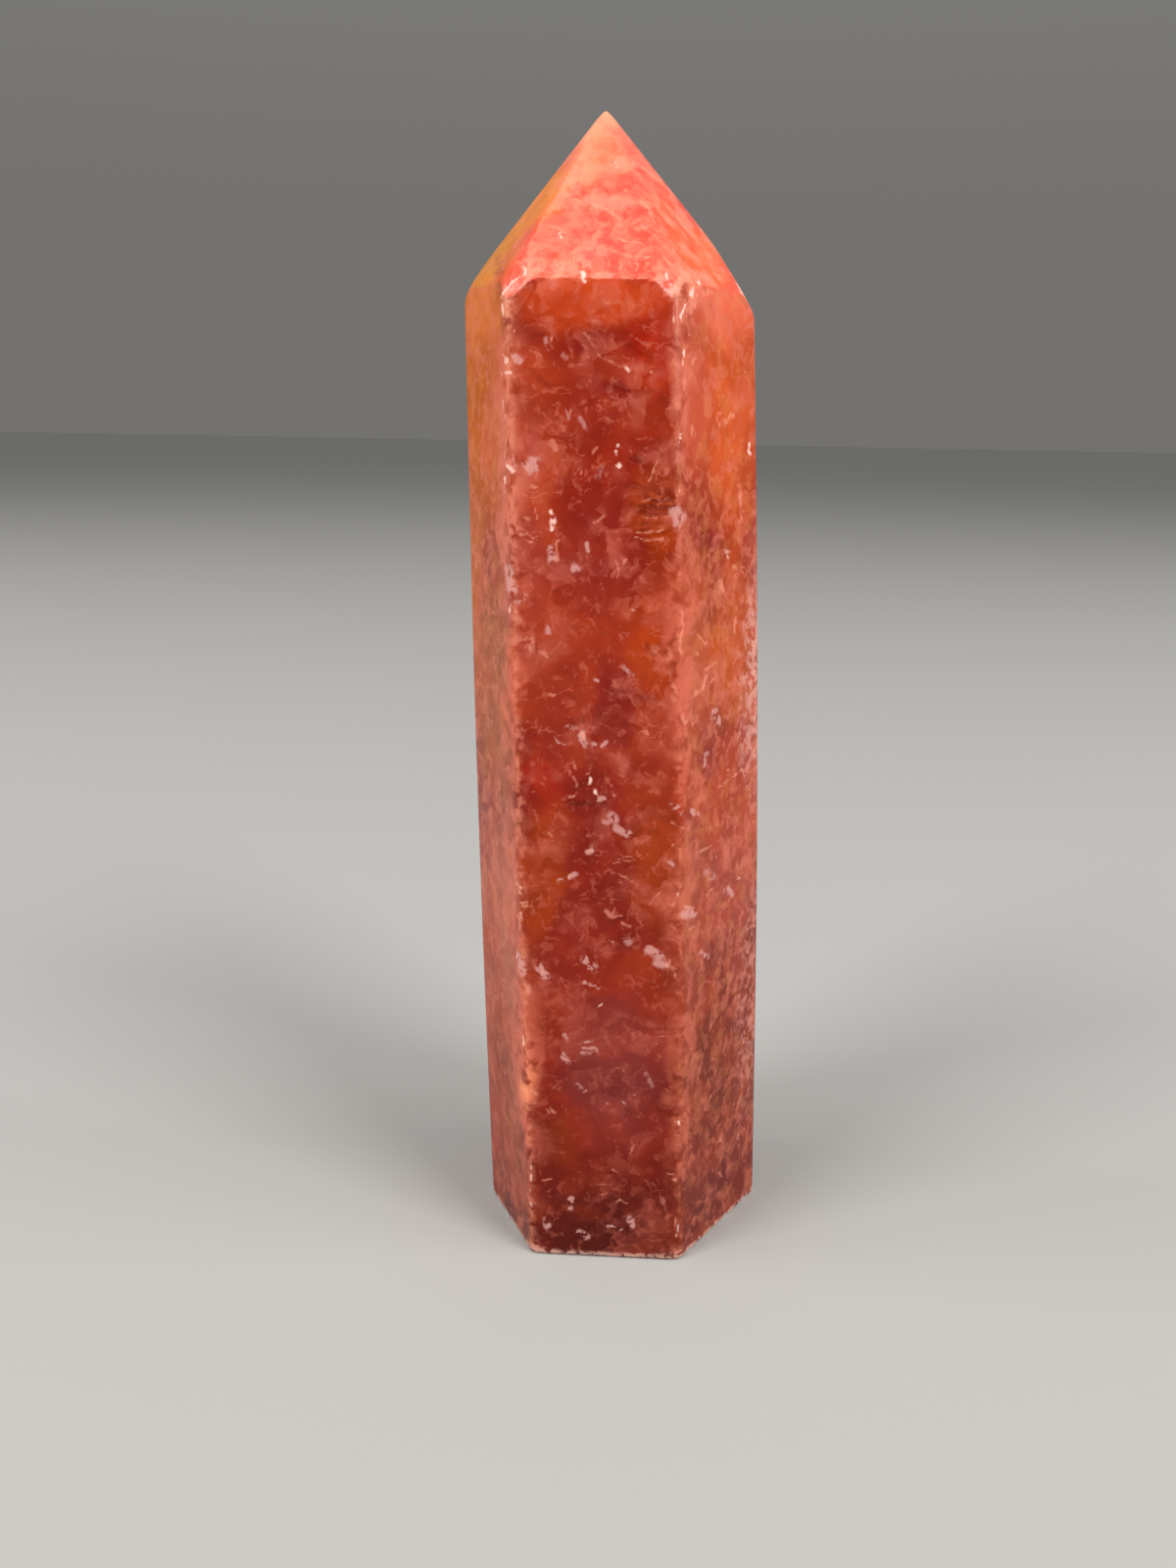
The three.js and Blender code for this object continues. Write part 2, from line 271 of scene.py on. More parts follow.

# The single inclusions that the photo shows, and the worn places on the two front arrises.
# Among the white strokes are painted glints as well as worn places.
FLECKS = (
    # the point, from the tip down
    Fleck(((-1.4, 95.4), (-1.1, 94.3)), 0.09, Tint.WHITE, 0.7),
    Fleck(((-0.9, 95.5), (-0.1, 94.9)), 0.35, Tint.PEACH, 0.4),
    Fleck(((-4.9, 93.5), (-4.6, 92.9)), 0.5, Tint.PEACH, 0.8),
    Fleck(((-5.3, 92.3), (-4.2, 92.4)), 0.25, Tint.PEACH, 0.7),
    Fleck(((-5, 91.8), (-3.6, 91.7), (-2.4, 91.2), (-0.7, 90.3)), 0.1, Tint.PEACH),
    Fleck(((0.8, 91.9), (1.2, 91.3)), 0.3, Tint.PEACH, 0.8),
    Fleck(((1.5, 90.9), (2, 90.1)), 0.15, Tint.PEACH, 0.7),
    Fleck(((1, 89.6), (1.9, 89)), 0.1, Tint.PEACH, 0.7),
    Fleck(((-6.1, 89.4), (-5.4, 89.2)), 0.12, Tint.PEACH),
    Fleck(((-5.5, 89), (-5.5, 88.6)), 0.09, Tint.WHITE),
    Fleck(((-7, 89.1), (-6.8, 88.3)), 0.7, Tint.DARK, 0.6),
    Fleck(((-7.4, 87), (-6.2, 86.8)), 0.4, Tint.DARK, 0.5),
    Fleck(((-4.4, 89.3), (-1.4, 89)), 0.6, Tint.DARK, 0.35),
    Fleck(((-1.8, 86.9), (-0.4, 87), (0.6, 86.6)), 0.35, Tint.DARK, 0.5),
    Fleck(((-1.2, 87.6), (0.2, 87.2)), 0.08, Tint.PEACH),
    Fleck(((-0.9, 88.6), (0.9, 88.3), (1.6, 87.6)), 0.07, Tint.PEACH),
    Fleck(((-4.4, 87.4), (-3, 87.6), (-2, 87.2)), 0.07, Tint.PEACH),
    Fleck(((-8.3, 86.5), (-8.2, 85.9), (-7.6, 85.8)), 0.4, Tint.PEACH),
    Fleck(((-8.3, 86.3), (-8.1, 85.8)), 0.14, Tint.WHITE, 0.8),
    Fleck(((-8.6, 85.6), (-9.6, 84.6), (-9.9, 83.6)), 0.09, Tint.WHITE, 0.8),
    Fleck(((-3.5, 85.6), (-3.3, 85.1)), 0.21, Tint.WHITE),
    Fleck(((-6.6, 86.65), (-6.55, 85.95)), 0.07, Tint.PEACH, 0.8),
    Fleck(((-5.8, 86.85), (-5.75, 86.15)), 0.07, Tint.PEACH, 0.8),
    Fleck(((-5.2, 86.75), (-5.15, 86.05)), 0.07, Tint.PEACH, 0.8),
    Fleck(((-4.4, 86.85), (-4.35, 86.15)), 0.07, Tint.PEACH, 0.8),
    Fleck(((-3.4, 86.85), (-3.35, 86.15)), 0.07, Tint.PEACH, 0.8),
    Fleck(((-2.9, 86.65), (-2.85, 85.95)), 0.07, Tint.PEACH, 0.8),
    Fleck(((-1.6, 86.75), (-1.55, 86.05)), 0.07, Tint.PEACH, 0.8),
    Fleck(((-0.6, 86.55), (-0.55, 85.85)), 0.07, Tint.PEACH, 0.8),
    Fleck(((0.6, 86.45), (0.65, 85.75)), 0.07, Tint.PEACH, 0.8),
    Fleck(((1.4, 86.65), (1.45, 85.95)), 0.07, Tint.PEACH, 0.8),
    Fleck(((3.1, 85.8), (3.5, 85)), 0.15, Tint.WHITE, 0.8),
    Fleck(((4.1, 84.6), (4.5, 83.9)), 0.25, Tint.PEACH),
    Fleck(((4.9, 84.3), (5.5, 85.3)), 0.14, Tint.WHITE, 0.8),
    Fleck(((6.1, 84.7), (6.5, 84.9)), 0.25, Tint.PEACH),
    Fleck(((5.2, 85.2), (5.1, 84.2), (5, 83.4)), 0.4, Tint.PEACH),
    Fleck(((3.6, 86.6), (4.6, 85.9), (5.6, 86.2)), 0.12, Tint.PEACH, 0.8),
    Fleck(((2.6, 87.3), (3.4, 86.4)), 0.12, Tint.PEACH, 0.7),
    Fleck(((4.8, 86.8), (6.4, 86)), 0.1, Tint.PEACH, 0.6),
    Fleck(((9.1, 86.3), (9.5, 85.3)), 0.14, Tint.WHITE, 0.9),
    Fleck(((4.3, 87.9), (5, 87.3)), 0.3, Tint.DARK, 0.6),
    Fleck(((3, 89.4), (4.6, 88.6)), 0.5, Tint.DARK, 0.35),
    Fleck(((-10.9, 87.6), (-10.5, 86.6)), 0.4, Tint.DARK, 0.7),
    Fleck(((-10.9, 86.2), (-10.2, 86.1)), 0.25, Tint.DARK, 0.7),
    Fleck(((-9.2, 88.6), (-10, 86.6)), 0.08, Tint.PEACH, 0.6),
    Fleck(((-8.6, 88.2), (-9.3, 86.4)), 0.08, Tint.PEACH, 0.5),
    Fleck(((-7.6, 85.6), (-2, 85.5), (3, 85.3)), 0.06, Tint.PEACH, 0.7),
    # under the shoulder
    Fleck(((-9.8, 83.6), (-9.8, 82.1)), 0.12, Tint.WHITE, 0.9),
    Fleck(((-9.4, 84), (-9.6, 82.6)), 0.4, Tint.PEACH),
    Fleck(((4.4, 83.9), (4.3, 82.4)), 0.11, Tint.WHITE, 0.9),
    Fleck(((-3.3, 81.2), (-2.8, 80.9)), 0.12, Tint.PEACH),
    Fleck(((-2, 79.7), (-0.8, 79), (0.1, 78.6)), 0.09, Tint.PEACH, 0.8),
    Fleck(((0, 78.6), (0.3, 78.5)), 0.11, Tint.WHITE, 0.7),
    Fleck(((0.3, 81.2), (1.7, 80.2)), 0.08, Tint.PEACH, 0.5),
    Fleck(((-2.5, 82.2), (-1.2, 82), (-0.5, 81)), 0.06, Tint.PEACH, 0.4),
    Fleck(((1.9, 83), (1.9, 82.6)), 0.3, Tint.PEACH, 0.4),
    Fleck(((-9.7, 79.5), (-9.4, 79)), 0.15, Tint.WHITE, 0.9),
    Fleck(((-8.9, 79.4), (-8.3, 79.1)), 0.25, Tint.GREY),
    Fleck(((-9.7, 78.2), (-8.9, 78.1)), 0.14, Tint.WHITE, 0.7),
    Fleck(((-6.3, 80.6), (-6, 79.9)), 0.3, Tint.GREY, 0.6),
    Fleck(((-4.9, 79.6), (-4.4, 79.2)), 0.25, Tint.GREY, 0.4),
    Fleck(((4.5, 80.2), (4.5, 78.8)), 0.07, Tint.WHITE, 0.9),
    Fleck(((5.4, 79.6), (5.4, 79.1)), 0.1, Tint.PEACH),
    Fleck(((4.5, 77.8), (4.6, 76.9)), 0.2, Tint.PEACH, 0.6),
    Fleck(((3.3, 76.8), (3.3, 76.4)), 0.12, Tint.PEACH),
    Fleck(((-9.7, 76.2), (-9.7, 74.4)), 0.08, Tint.WHITE, 0.8),
    Fleck(((-7.9, 75.9), (-7.7, 75.3)), 0.12, Tint.PEACH, 0.7),
    Fleck(((-4.7, 75.3), (-4.5, 74.6)), 0.15, Tint.GREY, 0.6),
    Fleck(((-3.6, 74.9), (-3.2, 74.1)), 0.25, Tint.GREY, 0.6),
    Fleck(((-5.7, 72.9), (-5.5, 72.2)), 0.22, Tint.PEACH, 0.7),
    Fleck(((-2.5, 72), (-2.2, 72.5)), 0.14, Tint.PEACH, 0.8),
    Fleck(((-0.5, 72.6), (-0.5, 71.9)), 0.1, Tint.WHITE),
    Fleck(((-0.4, 71.4), (-0.2, 71.1)), 0.17, Tint.WHITE),
    Fleck(((4.6, 73.7), (4.6, 73)), 0.08, Tint.WHITE, 0.9),
    Fleck(((5.6, 74.3), (5.5, 73.6)), 0.1, Tint.PEACH),
    Fleck(((2.1, 70.2), (2.8, 71.4)), 0.1, Tint.PEACH, 0.8),
    Fleck(((0.3, 80.4), (2, 79.6)), 0.5, Tint.DARK, 0.5),
    Fleck(((-1.2, 77.3), (2.8, 76.6)), 0.5, Tint.DARK, 0.5),
    Fleck(((-7.6, 78.4), (-6, 77.2)), 0.3, Tint.DARK, 0.5),
    Fleck(((0.8, 71.8), (1.6, 71.5)), 0.3, Tint.DARK, 0.6),
    Fleck(((7.2, 73.2), (6.7, 71.5), (6.4, 69.5)), 0.45, Tint.DARK, 0.7),
    Fleck(((0.6, 69.6), (2, 69.2)), 0.4, Tint.DARK, 0.7),
    Fleck(((0.8, 68.2), (2.6, 68)), 0.3, Tint.DARK, 0.7),
    Fleck(((1.4, 66.7), (3.6, 66.7)), 0.16, Tint.DARK, 0.7),
    Fleck(((1.2, 65.7), (3.6, 65.7)), 0.14, Tint.DARK, 0.6),
    Fleck(((-6, 69.8), (-4.8, 69.4)), 0.4, Tint.DARK, 0.4),
    Fleck(((-2.6, 66.4), (-1.8, 64.8)), 0.6, Tint.DARK, 0.35),
    Fleck(((-9.6, 73), (-9.6, 71.4)), 0.14, Tint.PEACH, 0.7),
    Fleck(((-9.5, 71), (-8.9, 70.6)), 0.22, Tint.WHITE, 0.8),
    Fleck(((-9.6, 70), (-9.5, 69)), 0.12, Tint.WHITE, 0.9),
    Fleck(((-8.5, 71.2), (-7.6, 70.8)), 0.4, Tint.GREY),
    Fleck(((-7.3, 71.4), (-6.6, 71)), 0.4, Tint.GREY),
    Fleck(((-7.3, 69.5), (-6.9, 69.4)), 0.15, Tint.PEACH, 0.7),
    Fleck(((-1.6, 71), (-1.9, 70.3)), 0.25, Tint.GREY, 0.4),
    Fleck(((-8.2, 68.6), (-6.2, 68.7)), 0.08, Tint.PEACH, 0.5),
    Fleck(((-5.8, 67.4), (-5.6, 66.6)), 0.14, Tint.WHITE, 0.9),
    Fleck(((-5.6, 66.4), (-5.5, 65.9)), 0.09, Tint.WHITE, 0.8),
    Fleck(((-7, 67.6), (-6.9, 66.9)), 0.07, Tint.PEACH),
    Fleck(((-8, 66.9), (-7.4, 66.9)), 0.12, Tint.PEACH, 0.6),
    Fleck(((-8.4, 65.5), (-7, 65.5)), 0.06, Tint.PEACH),
    Fleck(((-8.2, 65.1), (-7, 65.2)), 0.05, Tint.PEACH),
    Fleck(((-2.1, 66.5), (-1.5, 67.2)), 0.15, Tint.PEACH, 0.8),
    Fleck(((-2.8, 65), (-2.6, 64.3)), 0.15, Tint.GREY),
    Fleck(((1.6, 68.5), (3.7, 68.6)), 0.07, Tint.PEACH, 0.6),
    Fleck(((1.5, 67.2), (3.9, 67.3)), 0.07, Tint.PEACH, 0.6),
    Fleck(((1.2, 66), (3.9, 66)), 0.08, Tint.PEACH, 0.9),
    Fleck(((1, 65.4), (3.8, 65.3)), 0.07, Tint.PEACH, 0.9),
    Fleck(((4.2, 67.7), (4.6, 66.9)), 0.45, Tint.GREY),
    Fleck(((7.7, 75.3), (7.6, 74.6)), 0.16, Tint.PEACH),
    Fleck(((8.3, 74.8), (9, 75.3)), 0.14, Tint.PEACH),
    Fleck(((8.8, 72.3), (9.2, 72.7)), 0.1, Tint.PEACH),
    Fleck(((10.6, 73), (10.7, 72)), 0.14, Tint.WHITE, 0.8),
    Fleck(((9.8, 69.5), (9.9, 66.5)), 0.2, Tint.PEACH, 0.5),
    # the middle
    Fleck(((-5.2, 65), (-5.3, 63.4)), 0.15, Tint.PEACH, 0.9),
    Fleck(((-5.8, 64.4), (-5.6, 63.6)), 0.3, Tint.GREY),
    Fleck(((-0.4, 63.6), (-0.2, 63), (-0.25, 62.3)), 0.1, Tint.PEACH, 0.8),
    Fleck(((-3.7, 62.8), (-3.4, 62.8)), 0.22, Tint.GREY),
    Fleck(((0.3, 63.3), (0.5, 63.6)), 0.1, Tint.PEACH),
    Fleck(((8.8, 64.2), (9, 63.9)), 0.19, Tint.WHITE, 0.9),
    Fleck(((9, 63.6), (9, 63.2)), 0.09, Tint.WHITE, 0.7),
    Fleck(((9.5, 62.5), (9.7, 62.3)), 0.12, Tint.PEACH),
    Fleck(((8.2, 61.6), (8.4, 60.6)), 0.3, Tint.PEACH, 0.7),
    Fleck(((-9.3, 62.8), (-9.1, 61.6)), 0.35, Tint.GREY),
    Fleck(((-8.9, 61.2), (-8.3, 60.4)), 0.55, Tint.GREY),
    Fleck(((-9.1, 60), (-9.1, 59.2)), 0.09, Tint.WHITE, 0.8),
    Fleck(((-8.5, 59.4), (-8.2, 58.6)), 0.4, Tint.PEACH, 0.5),
    Fleck(((-8.4, 57), (-7.6, 57.1), (-7, 56.4)), 0.12, Tint.PEACH, 0.6),
    Fleck(((-7.8, 56.3), (-6.4, 55.9)), 0.25, Tint.PEACH, 0.4),
    Fleck(((-6, 58.2), (-5.8, 57.6)), 0.22, Tint.GREY, 0.8),
    Fleck(((-6.1, 55.8), (-5.8, 55.5)), 0.2, Tint.PEACH, 0.7),
    Fleck(((-7.3, 57), (-7.2, 56.9)), 0.13, Tint.PEACH),
    Fleck(((3, 56.5), (4.2, 56)), 0.5, Tint.PEACH, 0.4),
    Fleck(((5.2, 59.4), (5.2, 56)), 0.12, Tint.PEACH, 0.7),
    Fleck(((4.3, 54.9), (4.6, 52.5)), 0.3, Tint.PEACH, 0.4),
    Fleck(((6.4, 55.9), (6.5, 55.7)), 0.15, Tint.PEACH),
    Fleck(((6.6, 57.4), (7.2, 56.6)), 0.1, Tint.PEACH, 0.7),
    Fleck(((7.2, 54.2), (8.2, 54.7)), 0.1, Tint.PEACH, 0.9),
    Fleck(((6.6, 52.4), (7.4, 53.8)), 0.16, Tint.PEACH, 0.8),
    Fleck(((8, 53.4), (7.6, 52.6)), 0.1, Tint.PEACH, 0.7),
    Fleck(((9.5, 57.9), (9.6, 56.8)), 0.2, Tint.DARK),
    Fleck(((9.9, 58.2), (9.9, 56.8)), 0.08, Tint.PEACH),
    Fleck(((0.6, 54.7), (1, 54.3)), 0.3, Tint.GREY, 0.7),
    Fleck(((-2.1, 53.8), (-1.8, 53.6)), 0.2, Tint.GREY, 0.8),
    Fleck(((1.1, 59.6), (1.2, 59.5)), 0.09, Tint.WHITE, 0.8),
    Fleck(((2.2, 56.6), (2.8, 56.1)), 0.3, Tint.DARK, 0.7),
    Fleck(((-5.6, 60.9), (-5.1, 60.9)), 0.2, Tint.DARK, 0.6),
    Fleck(((-3.9, 52.5), (-3.5, 52.2)), 0.3, Tint.DARK, 0.6),
    Fleck(((2, 52.4), (3.2, 52)), 0.4, Tint.DARK, 0.5),
    Fleck(((-1.6, 57.8), (-0.4, 56.8)), 0.6, Tint.DARK, 0.35),
    Fleck(((-4, 50), (-1.6, 50.6)), 0.5, Tint.DARK, 0.35),
    Fleck(((-5.8, 52.4), (-5.2, 52.5)), 0.12, Tint.PEACH, 0.8),
    Fleck(((-5.6, 53.2), (-5.3, 53)), 0.1, Tint.PEACH, 0.7),
    Fleck(((-8.2, 54.1), (-7.4, 53.9)), 0.08, Tint.PEACH, 0.7),
    Fleck(((-4, 49.7), (-3.6, 49.5)), 0.25, Tint.GREY),
    Fleck(((-2.8, 49.1), (-2.6, 48.4)), 0.35, Tint.GREY),
    Fleck(((-2.8, 49.2), (-2.6, 49)), 0.15, Tint.PEACH),
    Fleck(((-2.9, 48.2), (-2, 48.3)), 0.16, Tint.GREY),
    Fleck(((-1.3, 48.3), (-0.9, 48.6)), 0.2, Tint.GREY),
    Fleck(((-5, 48.5), (-4.3, 48.1)), 0.07, Tint.GREY),
    Fleck(((5.4, 50.9), (5.8, 50.3)), 0.14, Tint.PEACH),
    Fleck(((6.4, 50.1), (6.4, 49.9)), 0.12, Tint.PEACH),
    Fleck(((8.3, 50.3), (8.6, 49.5)), 0.4, Tint.GREY),
    Fleck(((2.5, 49.6), (2.6, 49.3)), 0.1, Tint.PEACH),
    Fleck(((7.6, 47), (7.7, 46)), 0.2, Tint.GREY, 0.7),
    Fleck(((11, 44.4), (11.3, 44.2)), 0.15, Tint.PEACH),
    Fleck(((11, 44.4), (11.1, 44.3)), 0.11, Tint.WHITE, 0.7),
    Fleck(((9, 43.4), (10.6, 44.1)), 0.08, Tint.PEACH),
    Fleck(((9.9, 43.2), (11, 43)), 0.3, Tint.DARK, 0.5),
    Fleck(((-3.6, 46.4), (-3.5, 46)), 0.12, Tint.PEACH),
    Fleck(((-3.6, 45.3), (-3.4, 44.7)), 0.1, Tint.PEACH),
    Fleck(((-2.3, 44.9), (-2.1, 45.3)), 0.13, Tint.WHITE),
    Fleck(((-2.4, 45.7), (-2.1, 45.9)), 0.07, Tint.PEACH),
    Fleck(((-1.8, 44.3), (-1.65, 43.9)), 0.14, Tint.WHITE),
    Fleck(((-1.5, 43.7), (-0.9, 43.6)), 0.25, Tint.GREY),
    Fleck(((-0.3, 44.8), (-0.25, 44.7)), 0.08, Tint.PEACH),
    Fleck(((-0.1, 43.9), (0, 43.8)), 0.1, Tint.PEACH),
    Fleck(((-3.9, 43.7), (-3.5, 43.9)), 0.15, Tint.PEACH),
    Fleck(((-4.1, 45.9), (-3.9, 45.4)), 0.05, Tint.PEACH),
    Fleck(((-7, 43.9), (-6.9, 43.9)), 0.15, Tint.PEACH),
    Fleck(((-3.9, 43.2), (-0.8, 43.1)), 0.25, Tint.DARK, 0.7),
    Fleck(((-3.2, 44.6), (-1.4, 45.6)), 0.3, Tint.DARK, 0.4),
    Fleck(((-4.3, 46.6), (-3.4, 46.7)), 0.06, Tint.PEACH, 0.6),
    # the lower half
    Fleck(((-0.4, 42.3), (0.2, 41.6)), 0.4, Tint.GREY, 0.8),
    Fleck(((-0.9, 41.6), (-0.2, 41.7)), 0.3, Tint.GREY, 0.6),
    Fleck(((0.3, 41), (1.1, 40.6)), 0.4, Tint.GREY),
    Fleck(((1.2, 40.5), (3.6, 40.9)), 0.4, Tint.DARK, 0.5),
    Fleck(((5, 43.2), (5.5, 42.7)), 0.3, Tint.GREY),
    Fleck(((5, 43), (5.3, 42.8)), 0.09, Tint.WHITE, 0.7),
    Fleck(((4.9, 41.8), (5.9, 41.3)), 0.1, Tint.PEACH, 0.9),
    Fleck(((6.4, 42.4), (7, 41.8)), 0.2, Tint.GREY),
    Fleck(((-2.3, 38.7), (-2, 38.9)), 0.22, Tint.GREY),
    Fleck(((-2.3, 38.8), (-1.9, 39)), 0.08, Tint.PEACH),
    Fleck(((-5.8, 40.5), (-5.3, 40.2)), 0.07, Tint.PEACH),
    Fleck(((-5.3, 39.8), (-4.9, 39.9)), 0.07, Tint.PEACH),
    Fleck(((-4, 36.5), (-3.4, 36.9)), 0.3, Tint.GREY),
    Fleck(((-3.9, 36.6), (-3.7, 36.8)), 0.12, Tint.PEACH),
    Fleck(((-4.7, 36.3), (-4.3, 36.4)), 0.1, Tint.GREY),
    Fleck(((-8.4, 36.2), (-8.3, 35.5)), 0.08, Tint.WHITE, 0.8),
    Fleck(((-8, 35.6), (-7.9, 34.9)), 0.07, Tint.WHITE, 0.7),
    Fleck(((-8, 34), (-6.8, 34.3), (-6, 34.7)), 0.07, Tint.PEACH),
    Fleck(((-8, 33.7), (-7, 33.9)), 0.06, Tint.PEACH),
    Fleck(((-8, 33.1), (-7.8, 32.6)), 0.19, Tint.WHITE, 0.9),
    Fleck(((-8.3, 32.6), (-8, 32.2)), 0.15, Tint.PEACH, 0.8),
    Fleck(((-8.1, 32), (-8, 31.6)), 0.2, Tint.GREY, 0.6),
    Fleck(((0.3, 38.3), (2.9, 39)), 0.05, Tint.PEACH, 0.6),
    Fleck(((0.1, 38), (2.4, 38.4)), 0.05, Tint.PEACH, 0.6),
    Fleck(((-0.3, 37.1), (1.4, 36.5)), 0.05, Tint.PEACH, 0.6),
    Fleck(((0.4, 36.9), (2.2, 36.1)), 0.05, Tint.PEACH, 0.6),
    Fleck(((-1.6, 38.6), (-0.2, 38.2)), 0.05, Tint.PEACH, 0.4),
    Fleck(((-0.8, 33.7), (0.1, 33.3), (0.7, 33.4)), 0.1, Tint.PEACH, 0.8),
    Fleck(((0.1, 33.9), (0, 33.2)), 0.07, Tint.PEACH, 0.7),
    Fleck(((-0.4, 32.9), (1, 33.1)), 0.2, Tint.DARK, 0.8),
    Fleck(((0.9, 32.6), (1.6, 32.3)), 0.12, Tint.PEACH, 0.6),
    Fleck(((-1.6, 34.9), (0.6, 34.7)), 0.06, Tint.PEACH, 0.4),
    Fleck(((4, 34.9), (4.6, 34.3), (5.2, 34.3)), 0.07, Tint.PEACH),
    Fleck(((4.2, 33.9), (5.3, 34.6)), 0.07, Tint.PEACH, 0.8),
    Fleck(((5.6, 35.4), (5.7, 35)), 0.09, Tint.WHITE, 0.7),
    Fleck(((5.2, 32.9), (5.6, 32.2)), 0.2, Tint.PEACH, 0.5),
    Fleck(((3.2, 34.4), (4.2, 35.6)), 0.07, Tint.PEACH, 0.6),
    Fleck(((4.6, 38.4), (4.9, 38.1)), 0.22, Tint.GREY, 0.8),
    Fleck(((4.9, 39.7), (5.5, 39.4)), 0.12, Tint.PEACH, 0.7),
    Fleck(((-0.2, 31), (-0.1, 30.9)), 0.1, Tint.PEACH),
    Fleck(((0.9, 31.4), (1.5, 30.9)), 0.3, Tint.GREY, 0.6),
    Fleck(((3.3, 30.1), (4, 29.7)), 0.4, Tint.GREY),
    Fleck(((3.8, 29.2), (4.6, 28.8)), 0.4, Tint.GREY, 0.9),
    Fleck(((4.6, 28.9), (5.8, 28.6)), 0.07, Tint.PEACH, 0.9),
    Fleck(((5.1, 29.4), (5.4, 28)), 0.07, Tint.PEACH, 0.9),
    Fleck(((4.6, 29.4), (5.6, 28.4)), 0.06, Tint.PEACH, 0.6),
    Fleck(((-2.4, 29.2), (-1.7, 28.6)), 0.35, Tint.GREY),
    Fleck(((-2.3, 28.4), (-2, 28.4)), 0.06, Tint.WHITE),
    Fleck(((-2.2, 26.9), (-1.1, 26.6)), 0.15, Tint.GREY),
    Fleck(((-6.3, 28.3), (-5.6, 27.4)), 0.4, Tint.GREY),
    Fleck(((-6.2, 28.4), (-5.7, 27.2)), 0.1, Tint.PEACH, 0.6),
    Fleck(((-8.1, 28.8), (-7.9, 27.4)), 0.4, Tint.GREY),
    Fleck(((-8.4, 29), (-8.3, 28.2)), 0.08, Tint.WHITE, 0.6),
    Fleck(((-7.6, 26.9), (-7.4, 25.9)), 0.3, Tint.PEACH, 0.5),
    Fleck(((6.4, 33.6), (6.9, 33)), 0.4, Tint.GREY),
    Fleck(((6.3, 34), (7.1, 33.6)), 0.1, Tint.PEACH),
    Fleck(((6.8, 31.9), (7.2, 31.8)), 0.15, Tint.PEACH),
    Fleck(((11.1, 34), (11.3, 33.9)), 0.11, Tint.WHITE, 0.8),
    Fleck(((10.2, 33.6), (10.5, 32.8)), 0.3, Tint.GREY),
    Fleck(((7.7, 29), (8.6, 28.2)), 0.25, Tint.GREY, 0.8),
    Fleck(((7.4, 38.3), (8.2, 38.5)), 0.12, Tint.PEACH),
    Fleck(((8.2, 34.2), (8.8, 34.4)), 0.12, Tint.PEACH),
    Fleck(((6.8, 29.6), (7.2, 27.4)), 0.3, Tint.DARK, 0.4),
    Fleck(((8, 36.4), (8.6, 35.4)), 0.3, Tint.GREY, 0.5),
    # the foot
    Fleck(((-7.7, 21.4), (-7.6, 20.8)), 0.12, Tint.WHITE, 0.8),
    Fleck(((-1, 24.7), (-0.8, 24.9)), 0.09, Tint.WHITE, 0.8),
    Fleck(((-7.6, 18.4), (-7, 17)), 0.25, Tint.PEACH, 0.4),
    Fleck(((-7.6, 16.4), (-6.6, 16.2)), 0.2, Tint.PEACH, 0.8),
    Fleck(((-7.5, 15.4), (-6.6, 15.2)), 0.1, Tint.PEACH, 0.7),
    Fleck(((-6.9, 9.2), (-6.9, 8.6)), 0.05, Tint.WHITE, 0.8),
    Fleck(((-6.9, 8.1), (-6.8, 7.3)), 0.07, Tint.WHITE, 0.9),
    Fleck(((-6.9, 6.6), (-6.9, 6.2)), 0.05, Tint.WHITE, 0.7),
    Fleck(((-6.9, 5.2), (-6.7, 4.8)), 0.09, Tint.WHITE, 0.8),
    Fleck(((-5.7, 7.7), (-5.1, 7.8)), 0.09, Tint.PEACH),
    Fleck(((-5.2, 14.9), (-4.6, 14.3)), 0.07, Tint.PEACH),
    Fleck(((-5.6, 14.8), (-5.1, 14.5)), 0.07, Tint.PEACH, 0.7),
    Fleck(((-4.1, 22.1), (-3.8, 21.9)), 0.16, Tint.GREY),
    Fleck(((4.2, 22.2), (5, 22.2)), 0.07, Tint.PEACH),
    Fleck(((2.9, 21.1), (4.2, 21.4)), 0.05, Tint.PEACH, 0.7),
    Fleck(((1.2, 22.4), (2.6, 22.7)), 0.05, Tint.PEACH, 0.5),
    Fleck(((-2.2, 21.4), (-1.4, 21.5)), 0.1, Tint.GREY),
    Fleck(((-2.4, 20.9), (-1.2, 20.9)), 0.1, Tint.GREY),
    Fleck(((-2.4, 20.3), (-1.2, 20.6)), 0.2, Tint.GREY, 0.7),
    Fleck(((-4.1, 19.9), (-3.7, 19.5)), 0.22, Tint.GREY),
    Fleck(((-2.2, 16.6), (-2, 16.6)), 0.12, Tint.PEACH),
    Fleck(((-2.9, 17.3), (-2.4, 17)), 0.25, Tint.GREY, 0.5),
    Fleck(((-0.2, 15.6), (0.3, 15.4)), 0.1, Tint.PEACH),
    Fleck(((1.1, 15.7), (1.6, 15.5)), 0.1, Tint.GREY),
    Fleck(((1.2, 18.9), (1.3, 18.9)), 0.08, Tint.PEACH),
    Fleck(((2.4, 16.5), (2.45, 16.5)), 0.12, Tint.PEACH),
    Fleck(((0.4, 17.4), (2, 15)), 0.7, Tint.DARK, 0.35),
    Fleck(((3.2, 18.6), (3.8, 17.6)), 0.3, Tint.GREY, 0.5),
    Fleck(((0.6, 9.1), (1, 8.9)), 0.07, Tint.PEACH),
    Fleck(((2, 11.9), (2.6, 11.4), (2.2, 10.6)), 0.05, Tint.PEACH, 0.7),
    Fleck(((6.1, 14), (6.3, 13.5)), 0.08, Tint.WHITE, 0.8),
    Fleck(((5.9, 13.9), (6.6, 13.3)), 0.08, Tint.PEACH),
    Fleck(((5.9, 12.8), (6.3, 12.6)), 0.08, Tint.PEACH),
